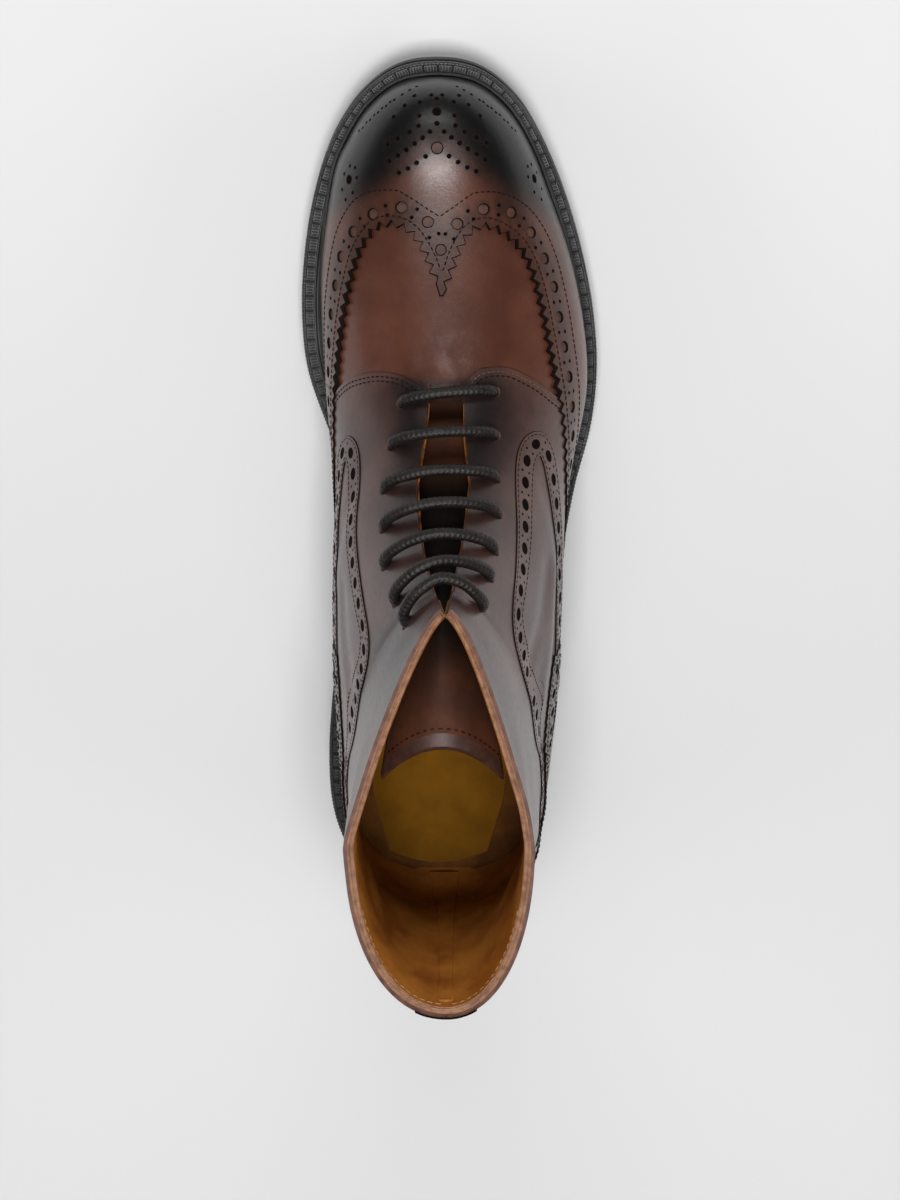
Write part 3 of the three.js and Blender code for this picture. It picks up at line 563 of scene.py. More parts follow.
def brogue(line, gap, pitch, large, small, start=0.0, spread_by=1.7, stretch=1.0, first=0):
    """Large holes in a row to the left of a line, with a pair of small ones between each two"""
    places, along, left, _ = walk(line, pitch / 2, start)
    holes = []
    middle = shift(places, left * gap)
    for k in range(len(places)):
        if (k + first) % 2 == 0:
            holes.append(circle(middle[k], large, 16, stretch, along[k]))
        else:
            for side in (-1, 1):
                spot = shift(places[k:k + 1], left[k:k + 1] * (gap + side * spread_by))[0]
                holes.append(circle(spot, small, 9))
    return holes


# ---------------------------------------------------------------- materials


def linear(code):
    """Colour of a hex code in linear light"""
    values = [int(code[k:k + 2], 16) / 255 for k in (1, 3, 5)]
    return [v / 12.92 if v <= 0.04045 else ((v + 0.055) / 1.055) ** 2.4 for v in values] + [1.0]


class Shader:
    """One material, with a helper that adds a node with its settings and links"""

    def __init__(self, name, **sockets):
        self.material = bpy.data.materials.new(name)
        self.material.use_nodes = True
        self.tree = self.material.node_tree
        self.bsdf = next(n for n in self.tree.nodes if n.type == 'BSDF_PRINCIPLED')
        self.feed(self.bsdf, sockets)

    def feed(self, node, inputs):
        """Sets or links the inputs of a node: i and a number for a socket that has no name of its own"""
        for key, value in inputs.items():
            numbered = key[0] == 'i' and key[1:].isdigit()
            socket = node.inputs[int(key[1:]) if numbered else key.replace('_', ' ')]
            if isinstance(value, bpy.types.NodeSocket):
                self.tree.links.new(value, socket)
            else:
                socket.default_value = value

    def add(self, kind, settings=None, output=0, **inputs):
        """Adds a node and gives one of its outputs"""
        node = self.tree.nodes.new(kind)
        for key, value in (settings or {}).items():
            setattr(node, key, value)
        self.feed(node, inputs)
        return node.outputs[output]


SOFT = {'interpolation_type': 'SMOOTHSTEP'}
COLOURS = {'data_type': 'RGBA'}
TIMES = {'operation': 'MULTIPLY'}
TIMES_PLUS = {'operation': 'MULTIPLY_ADD'}
PLUS = {'operation': 'ADD'}


def leather(name, pale, deep, burnt_and_shaded, roughness, coat, shine=0.5):
    """Polished calf: a warm stain that was burnished darker by hand, painted shade where the mesh asks for
    it, fine pores and a waxed gloss
    """
    s = Shader(name, Roughness=roughness, IOR=1.5, Coat_Weight=coat, Coat_Roughness=0.28,
               Specular_IOR_Level=shine)
    place = s.add('ShaderNodeTexCoord', output='Object')
    cloud = s.add('ShaderNodeTexNoise', output='Fac', Vector=place, Scale=1000 / 26, Detail=4, Roughness=0.6)
    cloud = s.add('ShaderNodeMapRange', SOFT, Value=cloud, From_Min=0.32, From_Max=0.68)
    fleck = s.add('ShaderNodeTexNoise', output='Fac', Vector=place, Scale=1000 / 2.4, Detail=5, Roughness=0.7)
    fleck = s.add('ShaderNodeMapRange', SOFT, Value=fleck, From_Min=0.35, From_Max=0.75)
    stain = s.add('ShaderNodeMix', COLOURS, 2, i0=cloud, i6=linear(deep), i7=linear(pale))
    share = s.add('ShaderNodeMath', TIMES, i0=fleck, i1=0.28)
    stain = s.add('ShaderNodeMix', COLOURS, 2, i0=share, i6=stain, i7=linear(deep))
    # Darkness carried by the mesh: the burnish, with painted shade on the tongue and on the medial shaft
    burn = s.add('ShaderNodeAttribute', {'attribute_name': 'burn'}, 'Fac')
    mottled_darkening = s.add('ShaderNodeTexNoise', output='Fac', Vector=place, Scale=1000 / 9, Detail=3, Roughness=0.6)
    mottled_darkening = s.add('ShaderNodeMath', TIMES_PLUS, i0=mottled_darkening, i1=0.22, i2=-0.11)
    mottled_darkening = s.add('ShaderNodeMath', PLUS, i0=burn, i1=mottled_darkening)
    dark = s.add('ShaderNodeMapRange', SOFT, Value=mottled_darkening, From_Min=0.02, From_Max=0.98)
    colour = s.add('ShaderNodeMix', COLOURS, 2, i0=dark, i6=stain, i7=linear(burnt_and_shaded))
    # The face turns darker beside its cut edges and round its holes: the dark cut edge with painted shade
    rim = s.add('ShaderNodeAttribute', {'attribute_name': 'rim'}, 'Fac')
    rim = s.add('ShaderNodeMath', TIMES, i0=rim, i1=0.5)
    colour = s.add('ShaderNodeMix', COLOURS, 2, i0=rim, i6=colour, i7=linear('#170f0c'))
    gloss = s.add('ShaderNodeMath', TIMES_PLUS, i0=fleck, i1=0.07, i2=roughness - 0.03)
    # The pores of calf are about 0.1 mm wide. They are drawn six times as wide, so that they show
    pores = s.add('ShaderNodeTexVoronoi', output='Distance', Vector=place, Scale=1000 / 0.62)
    pores = s.add('ShaderNodeMapRange', SOFT, Value=pores, From_Min=0.0, From_Max=0.5)
    wrinkle = s.add('ShaderNodeTexNoise', output='Fac', Vector=place, Scale=1000 / 3.2, Detail=6,
                    Roughness=0.62)
    bump = s.add('ShaderNodeBump', Height=wrinkle, Distance=0.10 * MM, Strength=1.0)
    bump = s.add('ShaderNodeBump', Height=pores, Distance=0.020 * MM, Strength=1.0, Normal=bump)
    s.feed(s.bsdf, {'Base_Color': colour, 'Roughness': gloss, 'Normal': bump})
    return s.material


def plain(name, pale, deep, roughness, grain_mm, depth, blotch_mm=12.0, shine=0.5):
    """Stuff with two near colours in soft blotches and a fine grain"""
    s = Shader(name, Roughness=roughness, Specular_IOR_Level=shine)
    place = s.add('ShaderNodeTexCoord', output='Object')
    cloud = s.add('ShaderNodeTexNoise', output='Fac', Vector=place, Scale=1000 / blotch_mm, Detail=4,
                  Roughness=0.6)
    cloud = s.add('ShaderNodeMapRange', SOFT, Value=cloud, From_Min=0.3, From_Max=0.7)
    colour = s.add('ShaderNodeMix', COLOURS, 2, i0=cloud, i6=linear(deep), i7=linear(pale))
    grain = s.add('ShaderNodeTexNoise', output='Fac', Vector=place, Scale=1000 / grain_mm, Detail=5,
                  Roughness=0.65)
    bump = s.add('ShaderNodeBump', Height=grain, Distance=depth * MM, Strength=1.0)
    s.feed(s.bsdf, {'Base_Color': colour, 'Normal': bump})
    return s.material


# Calf, stained red brown and burnished black at the toe: warm clouds under a soft waxed gloss, fine pores
LEATHER = leather('brown_calf', '#5c3426', '#482619', '#060404', 0.36, 0.15)
# The same calf with a cool plum brown burnish, as the quarters and the counter have it: a greyer, soft sheen
DARK_LEATHER = leather('burnished_calf', '#563a33', '#3a2724', '#0e0a09', 0.36, 0.28)
# Thin calf of the punched strips: a paler plum brown, so that they stand out from the quarters
STRIP_LEATHER = leather('plum_brown_calf', '#6b4d45', '#4b342e', '#241917', 0.38, 0.28)
# Cut and inked edge of the overlays and the walls of their holes: nearly black with painted shade, matt, so
# that teeth and holes are drawn as dark lines
RAW_EDGE = plain('cut_leather_edge', '#1c100b', '#0e0806', 0.8, 0.5, 0.08, shine=0.1)
# Floor of the small holes: leather in its own shade, nearly black and without gloss
PIT = plain('shaded_leather_under_holes', '#0c0706', '#060403', 0.8, 0.6, 0.05, shine=0.1)
# Vamp leather seen through the large holes: plain brown, a little paler than the wing's burnish
DISC = plain('brown_leather_under_large_holes', '#5a3c2e', '#3e2720', 0.6, 0.8, 0.05, 6.0)
# Undyed cut edge of the collar and the facings: tan, open fibres, no gloss
TAN_EDGE = plain('tan_leather_edge', '#a4795a', '#7d5740', 0.6, 0.45, 0.12, 3.0)
# Outer arris of the collar: the stain has run over the tan edge and makes a red brown line
BEVEL = plain('stained_edge_bevel', '#70483a', '#4c2f27', 0.5, 0.5, 0.06, 5.0)
# Vegetable tanned lining: warm orange tan with broad soft blotches and a low sheen
LINING = plain('tan_calf_lining', '#b8762f', '#8c501a', 0.55, 1.6, 0.12, 18.0, shine=0.35)
# Insole board round the sock: darker brown, matt
INSOLE = plain('brown_insole_board', '#6a4016', '#4a2a0e', 0.85, 1.2, 0.08, 18.0, shine=0.15)
# Thin sheep leather of the sock: flat yellow tan, quite matt
SOCK = plain('yellow_tan_sock', '#7a500c', '#624008', 0.85, 1.2, 0.06, 25.0, shine=0.1)
# Soft unwaxed calf: brown with hardly any gloss; painted shade makes it dark up in the throat
TONGUE = leather('soft_brown_leather', '#5c3320', '#402417', '#060402', 0.7, 0.0, shine=0.2)
# Folded hem of the tongue: plum brown, a little smoother than the tongue
HEM = plain('tongue_hem', '#4a3129', '#33201a', 0.5, 0.8, 0.08, 6.0)
# Waxed cotton braid: black brown, dull, with small lights on the crossings of its weave
CORD = plain('waxed_lace_braid', '#1f1814', '#0e0b09', 0.5, 0.30, 0.08, 4.0)
# Dark waxed polyester thread of the seams: black brown short dashes
THREAD = plain('dark_waxed_thread', '#1a0f0b', '#0e0806', 0.6, 0.3, 0.05, shine=0.2)
# Brown waxed thread of the lateral quarter's front seam
BROWN_THREAD = plain('brown_waxed_thread', '#7c5438', '#5c3d28', 0.6, 0.3, 0.05)
# Tan waxed thread along the inside of the collar
TAN_THREAD = plain('tan_waxed_thread', '#b08658', '#7c5634', 0.6, 0.3, 0.05)
# Black thread over the welt: grey lights on the tops of its ribs
BLACK_THREAD = plain('black_welt_thread', '#3f3f3f', '#262626', 0.5, 0.3, 0.05)
# Moulded black rubber of the sole and the heel: satin, slightly uneven
RUBBER = plain('black_rubber', '#262626', '#181818', 0.46, 0.7, 0.05, 20.0)
# Bottom of the welt's groove: rubber in shade, nearly black
GROOVE = plain('dark_welt_groove', '#060606', '#030303', 0.7, 0.7, 0.05, 20.0)
# Polished rubber welt: dark grey with a satin line along its ridge and rim
WELT_RUBBER = plain('satin_welt_rubber', '#3a3a3b', '#272728', 0.38, 0.6, 0.05, 16.0)

# ---------------------------------------------------------------- repeated small pieces


def scatter(name, points, ups, alongs, size, material, shape='sphere', slot=None):
    """Puts a small shape at each point, its length along the line and its height along the face's normal"""
    mesh = bpy.data.meshes.new(name + '_points')
    mesh.from_pydata((np.asarray(points) * MM).tolist(), [], [])
    for key, values in (('up', ups), ('along', alongs)):
        layer = mesh.attributes.new(key, 'FLOAT_VECTOR', 'POINT')
        layer.data.foreach_set("vector", np.asarray(values, dtype=np.float32).reshape(-1))
    holder = bpy.data.objects.new(name + '_points', mesh)
    bpy.context.scene.collection.objects.link(holder)
    tree = bpy.data.node_groups.new(name, 'GeometryNodeTree')
    face = tree.interface
    face.new_socket('Geometry', in_out='INPUT', socket_type='NodeSocketGeometry')
    size_socket = face.new_socket('Size', in_out='INPUT', socket_type='NodeSocketVector')
    material_socket = face.new_socket('Material', in_out='INPUT', socket_type='NodeSocketMaterial')
    face.new_socket('Geometry', in_out='OUTPUT', socket_type='NodeSocketGeometry')
    add = tree.nodes.new
    source, target = add('NodeGroupInput'), add('NodeGroupOutput')
    if shape == 'sphere':
        body = add('GeometryNodeMeshUVSphere')
        body.inputs['Segments'].default_value = 6
        body.inputs['Rings'].default_value = 5
        body.inputs['Radius'].default_value = 0.5
    else:
        body = add('GeometryNodeMeshCube')
        body.inputs['Size'].default_value = (1, 1, 1)
    scaled, spots = add('GeometryNodeTransform'), add('GeometryNodeInstanceOnPoints')
    turn = add('FunctionNodeAxesToRotation')
    turn.primary_axis, turn.secondary_axis = 'Z', 'X'
    realize, dress = add('GeometryNodeRealizeInstances'), add('GeometryNodeSetMaterial')
    link = tree.links.new
    for key, socket in (('up', turn.inputs[0]), ('along', turn.inputs[1])):
        named = add('GeometryNodeInputNamedAttribute')
        named.data_type = 'FLOAT_VECTOR'
        named.inputs['Name'].default_value = key
        link(named.outputs['Attribute'], socket)
    link(body.outputs['Mesh'], scaled.inputs['Geometry'])
    link(source.outputs['Size'], scaled.inputs['Scale'])
    link(source.outputs['Geometry'], spots.inputs['Points'])
    link(scaled.outputs['Geometry'], spots.inputs['Instance'])
    link(turn.outputs['Rotation'], spots.inputs['Rotation'])
    link(spots.outputs['Instances'], realize.inputs['Geometry'])
    link(realize.outputs['Geometry'], dress.inputs['Geometry'])
    link(source.outputs['Material'], dress.inputs['Material'])
    link(dress.outputs['Geometry'], target.inputs['Geometry'])
    modifier = holder.modifiers.new('Scatter', 'NODES')
    modifier.node_group = tree
    modifier[size_socket.identifier] = [v * MM for v in size]
    modifier[material_socket.identifier] = material
    graph = bpy.context.evaluated_depsgraph_get()
    made = bpy.data.meshes.new_from_object(holder.evaluated_get(graph), depsgraph=graph)
    made.name = name
    if not made.materials:
        made.materials.append(material)
    made.polygons.foreach_set("use_smooth", np.full(len(made.polygons), shape == 'sphere'))
    obj = bpy.data.objects.new(name, made)
    bpy.context.scene.collection.objects.link(obj)
    bpy.data.objects.remove(holder, do_unlink=True)
    return finish_piece(obj, slot=slot)


class Stitches:
    """Rows of stitches that share a thread"""

    def __init__(self, name, material, length=2.1, width=0.62, slot='leather_dark'):
        self.name, self.material, self.size, self.slot = name, material, (length, width, width * 0.8), slot
        self.pitch = length * 1.2
        self.points, self.ups, self.alongs = [], [], []

    def row(self, line, height):
        """Adds stitches along a line, at a height over the face"""
        places, along, _, _ = walk(line, self.pitch, self.pitch / 2)
        t, a = places[:, 0], places[:, 1]
        self.points.append(over(t, a, height))
        self.ups.append(normal(t, a))
        self.alongs.append(along)

    def place(self, points, ups, alongs):
        """Adds stitches at points of their own"""
        self.points.append(points)
        self.ups.append(ups)
        self.alongs.append(alongs)

    def build(self):
        """Makes all the stitches as one piece"""
        joined = [np.concatenate(v) for v in (self.points, self.ups, self.alongs)]
        return scatter(self.name, *joined, self.size, self.material, slot=self.slot)


# ---------------------------------------------------------------- leathers

THROAT_START = 8.05
FACING_EDGE = [[THROAT_START, 0.040], [8.7, 0.052], [9.35, 0.074], [10.2, 0.062], [11.2, 0.042], [14, 0.028],
               [17, 0.02]]

# Inner edge of the wing cap from the peak's tip, up over the vamp's shoulder and back along the side
PEAK = [[7.08, 0.0], [6.85, 0.018], [6.65, 0.034], [6.42, 0.070]]
WING_MEDIAL = PEAK + [[6.34, 0.12], [6.38, 0.18], [6.52, 0.215], [6.7, 0.25], [7.1, 0.285], [7.8, 0.35],
                      [8.7, 0.43], [9.4, 0.55], [10.2, 0.80]]
WING_LATERAL = PEAK + [[6.36, 0.115], [6.42, 0.160], [6.55, 0.205], [6.75, 0.237], [7.1, 0.252], [7.8, 0.268],
                       [8.3, 0.31], [8.7, 0.375], [9.4, 0.50], [10.2, 0.80]]

# Line through the large holes beside the peak, and the start of the outer row of stitches
WING_HOLES_MEDIAL = [[6.62, 0.0], [6.32, 0.029], [6.16, 0.092], [6.26, 0.188], [6.47, 0.262], [6.75, 0.312],
                     [7.04, 0.334]]
WING_HOLES_LATERAL = [[6.62, 0.0], [6.35, 0.042], [6.19, 0.108], [6.24, 0.204], [6.49, 0.265], [6.75, 0.292],
                      [7.01, 0.307]]
OUTER_ROW_PEAK = [[6.27, 0.0], [6.18, 0.028], [6.08, 0.060]]

dark_stitches = Stitches('leather_stitches', THREAD, 1.7, 0.6)
fine_stitches = Stitches('fine_stitches', THREAD, 1.7, 0.42)
tan_stitches = Stitches('tan_stitches', BROWN_THREAD, 1.5, 0.5, slot='leather')


def wing_lines(side):
    table = np.array(WING_MEDIAL if side > 0 else WING_LATERAL) * [1, side]
    return smooth_line(table)


def make_wing():
    """Wing cap: the toe, the peak over the vamp and the two wings, pinked along their inner edge"""
    halves = {}
    holes = []
    for side in (1, -1):
        line = wing_lines(side)
        teeth = pinked(line, 4.3, 2.4)
        teeth = teeth[teeth[:, 1] * side > 0.002]
        near_tip = teeth[:, 1] * side < 0.035
        teeth[near_tip, 1] *= np.clip((7.13 - teeth[near_tip, 0]) / 0.25, 0.6, 1)
        halves[side] = np.vstack([[7.09, 0.0], teeth])
        gap = -side
        for offset in (2.5, 13.6):
            row = beside(line, gap * offset)
            row = row[row[:, 1] * side > (0.001 if offset < 5 else 0.085)]
            if offset > 5:
                row = np.vstack([np.array(OUTER_ROW_PEAK) * [1, side], row])
            dark_stitches.row(row, CAP_TOP + 0.02)
        ring_line = beside(line, gap * 6.8)
        start = np.array(WING_HOLES_MEDIAL if side > 0 else WING_HOLES_LATERAL) * [1, side]
        ring_line = np.vstack([start, ring_line[ring_line[:, 0] > 7.3]])
        holes += brogue(ring_line, 0.0, 10.7, 2.15, 0.7, start=10.7 / 2, first=1)
    holes.append(circle((6.62, 0.0), 2.15, 16))
    stations = np.concatenate([np.arange(10.2, 1.2, -0.12), np.arange(1.1, -0.01, -0.1)])
    stations[-1] = 0.0
    foot = foot_around(stations, -1.0, CAP_TOP)
    medial = np.stack([stations, foot], -1)
    lateral = np.stack([stations, -foot_around(stations, -1.0, CAP_TOP, -1)], -1)
    front = [[0.0, v] for v in np.linspace(1, -1, 42)[1:-1]]
    loop = np.vstack([halves[1], medial[1:], front, lateral[1:][::-1], halves[-1][1:][::-1]])
    holes += medallion()
    parts = Parts()
    panel(parts, loop, holes, high=CAP_TOP, low=-0.2, step=2.3, floor=QUARTER_TOP + 0.05)
    ring = over(0.0, np.linspace(-1, 1, 25)[:-1], CAP_TOP)
    tip = over(0.0, 0.0, CAP_TOP) * 0.5 + over(0.0, 1.0, CAP_TOP) * 0.5 + [0, -0.35, 0]
    cap = np.vstack([ring, tip])
    faces = facing_out(cap, [[k, (k + 1) % 24, 24] for k in range(24)], np.repeat([[0.0, -1.0, 0.2]], 25, 0))
    parts.add(cap, faces, 0, burn=1.0)
    obj = parts.build('wing_cap_leather', [LEATHER, RAW_EDGE, PIT, DISC])
    return finish_piece(obj, ['wing_cap'], 'leather_dark')


# Toe ornament: place of each hole on one side, across and toward the heel from its middle, and its radius
MEDALLION = [
    (0.0, 0.0, 2.15), (0.0, -12.5, 1.6), (0.0, -8.2, 0.85),
    (2.7, -5.3, 0.85), (5.2, -3.1, 0.85), (8.0, -0.9, 0.85), (10.8, 1.4, 0.85), (13.8, 3.6, 0.85),
    (16.8, 6.0, 0.85),
    (4.0, 3.0, 0.85), (7.0, 5.2, 0.85), (10.0, 7.3, 0.85), (13.1, 9.0, 0.85),
    (7.1, -7.0, 0.8), (10.4, -4.4, 0.8), (14.6, -1.6, 0.8), (18.2, 1.0, 0.8),
    (7.2, -10.5, 0.75), (8.4, -15.5, 0.75), (12.5, -17.5, 0.75), (15.2, -13.0, 0.75), (18.6, -8.0, 0.75),
    (3.2, -19.0, 0.75), (0.0, -17.5, 0.75),
]


def place_near(t, a, across, back):
    """Place on the face at distances across and toward the heel from another"""
    spot = np.array([[t, a]])
    for _ in range(6):
        d_t = bare_face(spot[:, 0] + 0.02, spot[:, 1]) - bare_face(spot[:, 0] - 0.02, spot[:, 1])
        d_t /= np.linalg.norm(d_t)
        side = np.cross(normal(spot[:, 0], spot[:, 1]), d_t)
        side *= np.sign(side[0, 0]) or 1
        spot = shift(spot, (side * across + d_t * back) / 6)
        spot[:, 0] = np.clip(spot[:, 0], 0.6, LAST)
    return spot[0]


def medallion():
    holes = []
    for across, back, radius in MEDALLION:
        for side in ((1, -1) if across else (1,)):
            spot = place_near(4.75, 0.0, across * side, back)
            holes.append(circle(spot, radius, 16 if radius > 1.7 else 11, 1.0 if across else 1.2))
    for side in (1, -1):
        centre = (5.86, 0.317) if side > 0 else (5.9, -0.371)
        holes.append(circle(centre, 1.7, 12))
        for k in range(7):
            angle = 2 * math.pi * k / 7
            t_step, a_step = 0.30 * math.cos(angle), 0.040 * math.sin(angle)
            holes.append(circle((centre[0] + t_step, centre[1] + a_step), 0.7, 8))
    stations = np.arange(1.4, 4.6, 0.42)
    for side in (1, -1):
        for k, t in enumerate(stations):
            for step in (0, 1):
                holes.append(circle((t + step * 0.16, side * (0.13 + 0.055 * t + 0.018 * step)), 0.62, 8))
    return holes


# Holes for the lace: station and around on the medial side, then on the lateral side
LACE_ROWS = [
    [8.30, 0.117, 8.16, 0.112],
    [8.84, 0.152, 8.71, 0.126],
    [9.43, 0.172, 9.30, 0.140],
    [10.02, 0.170, 9.83, 0.146],
    [10.68, 0.168, 10.48, 0.140],
    [11.63, 0.148, 11.07, 0.132],
    [13.60, 0.140, 12.09, 0.126],
]


def lace_place(row, side):
    return (LACE_ROWS[row][0], LACE_ROWS[row][1]) if side > 0 else (LACE_ROWS[row][2], -LACE_ROWS[row][3])


# Front edge of the quarters, from the facing down to the foot
QUARTER_FRONT = {
    1: [[8.22, 0.052], [8.16, 0.063], [8.09, 0.073], [8.03, 0.088], [7.96, 0.121], [7.93, 0.162],
        [7.93, 0.204], [7.96, 0.246], [7.99, 0.288], [8.12, 0.371], [8.3, 0.44], [8.5, 0.54], [8.7, 0.66]],
    -1: [[8.22, 0.043], [8.16, 0.044], [8.06, 0.047], [7.99, 0.056], [7.90, 0.073], [7.87, 0.112],
         [7.88, 0.15], [7.96, 0.188], [8.06, 0.233], [8.16, 0.271], [8.22, 0.304], [8.4, 0.40], [8.7, 0.66]],
}


def quarter_loop(side):
    """Outline of a quarter: up the facing, round the collar, down the back and forward along the foot"""
    facing = [[t, side * read_line(FACING_EDGE, t)] for t in np.arange(8.2, 16.2, 0.1)]
    start = read_line(FACING_EDGE, 16.5)
    arounds = np.concatenate([np.linspace(start, 0.2, 14), np.linspace(0.21, 1.0, 60)]) * side
    collar = np.stack([collar_station(arounds), arounds], -1)
    facing = [row for row in facing if row[0] < collar[0][0] - 0.05]
    lowest = 13.2
    back = [[t, float(side)] for t in np.arange(collar[-1][0] - 0.15, lowest, -0.15)]
    stations = np.arange(lowest, 8.0, -0.1)
    foot = np.stack([stations, side * foot_around(stations, -1.0, QUARTER_TOP, side)], -1)
    front = smooth_line(np.array(QUARTER_FRONT[side]) * [1, side])[::-1]
    return np.vstack([facing, collar, back, foot[foot[:, 0] > front[0][0]][1:], front])


def make_quarter(side, name):
    """Quarter with its punched lace holes, lying over the vamp"""
    loop = quarter_loop(side)
    holes = []
    for row in range(len(LACE_ROWS)):
        holes.append(circle(lace_place(row, side), 2.2, 16))
    parts = Parts()
    panel(parts, loop, holes, high=QUARTER_TOP, low=-0.1, step=2.6, floor=-1.0, flare=0.05, shade=0.0)
    front = smooth_line(np.array(QUARTER_FRONT[side]) * [1, side])
    threads = dark_stitches if side > 0 else tan_stitches
    threads.row(beside(front, side * 1.5)[2:], QUARTER_TOP + 0.02)
    dark_stitches.row(beside(front, side * 3.1)[4:], QUARTER_TOP + 0.02)
    obj = parts.build(name + '_leather', [DARK_LEATHER, BEVEL, PIT, PIT])
    return finish_piece(obj, [name], 'leather')


# Middle line of the punched strips: forward along the side, round the turn and back up to the heel
STRIPS = {
    1: [[11.0, 0.470], [10.45, 0.450], [10.1, 0.445], [9.8, 0.436], [9.4, 0.422], [9.05, 0.400],
        [8.84, 0.372], [8.74, 0.338], [8.80, 0.308], [9.0, 0.298], [9.4, 0.303], [9.8, 0.303], [10.2, 0.290],
        [10.6, 0.275], [11.2, 0.258],
        [11.6, 0.256], [11.95, 0.275], [12.2, 0.310], [12.6, 0.365], [13.3, 0.43], [14.2, 0.52], [14.9, 0.75],
        [15.15, 0.93], [15.2, 0.96]],
    -1: [[11.0, 0.470], [10.45, 0.450], [10.1, 0.436], [9.79, 0.414], [9.6, 0.394], [9.37, 0.370],
         [9.07, 0.335], [8.86, 0.302], [8.73, 0.264], [8.80, 0.234], [9.0, 0.224], [9.4, 0.227], [10, 0.232],
         [10.6, 0.227], [11.2, 0.221],
         [11.6, 0.238], [11.9, 0.280], [12.2, 0.330], [12.6, 0.372], [13.4, 0.425], [14.2, 0.52],
         [14.9, 0.75], [15.15, 0.93], [15.2, 0.96]],
}
STRIP_HALF_WIDTH = 4.3


def make_strip(side, name):
    """Strip with a stitch line by each edge, large holes along it and small pairs between them"""
    line = smooth_line(np.array(STRIPS[side]) * [1, side])
    left, right = beside(line, STRIP_HALF_WIDTH, 1.6), beside(line, -STRIP_HALF_WIDTH, 1.6)
    holes = brogue(line, 0.0, 8.6, 1.75, 0.5, start=6.0, spread_by=1.6, stretch=1.3)
    parts = Parts()
    panel(parts, np.vstack([left, right[::-1]]), holes, high=STRIP_TOP, low=QUARTER_TOP - 0.3, step=2.2,
          floor=QUARTER_TOP + 0.05, flare=0.3, shade=0.5)
    for gap in (STRIP_HALF_WIDTH - 0.9, 0.9 - STRIP_HALF_WIDTH):
        fine_stitches.row(beside(line, gap), STRIP_TOP)
    obj = parts.build(name + '_leather', [STRIP_LEATHER, RAW_EDGE, PIT, PIT])
    return finish_piece(obj, [name], 'leather_dark')


COUNTER = [[10.45, 0.62], [10.56, 0.50], [10.75, 0.445], [11.2, 0.41], [12, 0.455], [13, 0.49], [13.6, 0.55],
           [14.0, 0.62], [14.3, 0.75], [14.45, 0.88], [14.5, 1.0]]


def make_counter():
    """Heel counter: one piece round the heel, pinked along its front and top"""
    halves = {}
    holes = []
    for side in (1, -1):
        line = smooth_line(np.array(COUNTER) * [1, side])
        halves[side] = pinked(line, 4.3, 2.2)
        gap = -side
        for offset in (2.4, 9.4):
            dark_stitches.row(beside(line, gap * offset), CAP_TOP + 0.02)
        holes += brogue(line, gap * 5.9, 9.0, 1.9, 0.65, start=14.0, spread_by=1.5)
    across = 2 - np.abs(halves[-1][:, 1])
    lateral = np.stack([halves[-1][:, 0], across], -1)
    foot_t = np.concatenate([np.arange(10.45, 13.0, 0.1), [13.05]])
    medial_foot = np.stack([foot_t, foot_around(foot_t, -1.0, CAP_TOP)], -1)
    lateral_foot = np.stack([foot_t, 2 - foot_around(foot_t, -1.0, CAP_TOP, -1)], -1)
    loop = np.vstack([halves[1], lateral[::-1][1:], lateral_foot, medial_foot[::-1]])
    shifted = []
    for hole in holes:
        hole = np.array(hole)
        if hole[0, 1] < 0:
            hole[:, 1] += 2
        if np.all(np.abs(hole[:, 1] - 1) > 0.03):
            shifted.append(hole)
    parts = Parts()
    panel(parts, loop, shifted, high=CAP_TOP, low=-0.1, step=2.3, floor=QUARTER_TOP + 0.05)
    obj = parts.build('heel_counter_leather', [DARK_LEATHER, RAW_EDGE, PIT, DISC])
    return finish_piece(obj, ['heel_counter'], 'leather_dark')


SEAM_X = 0.016 * BALL_WIDTH


def make_backstay():
    """Narrow strip over the back seam"""
    stations = np.arange(14.35, 16.9, 0.08)

    def edge(side):
        def wide(a):
            return np.abs(bare_face(stations, side * a)[:, 0] - SEAM_X) > 9.6
        return bisect(wide, np.full(stations.shape, 0.6), np.full(stations.shape, 0.999))
    medial, lateral = edge(1), 2 - edge(-1)
    top_m = collar_station(np.array(medial[-1:]))[0]
    keep = stations < top_m - 0.03
    top = np.linspace(medial[-1], lateral[-1], 12)
    top_line = np.stack([collar_station(np.where(top > 1, top - 2, top)), top], -1)
    right, left = (np.stack([stations, edge], -1)[keep] for edge in (medial, lateral))
    loop = np.vstack([right, top_line, left[::-1]])
    parts = Parts()
    panel(parts, loop, [], high=BACKSTAY_TOP, low=QUARTER_TOP - 0.3, step=2.4)
    for line, gap in ((right, 1.4), (left - [0, 2], -1.4)):
        dark_stitches.row(beside(line, -gap), BACKSTAY_TOP + 0.02)
    obj = parts.build('backstay_leather', [DARK_LEATHER, RAW_EDGE, PIT])
    return finish_piece(obj, ['backstay'], 'leather_dark')


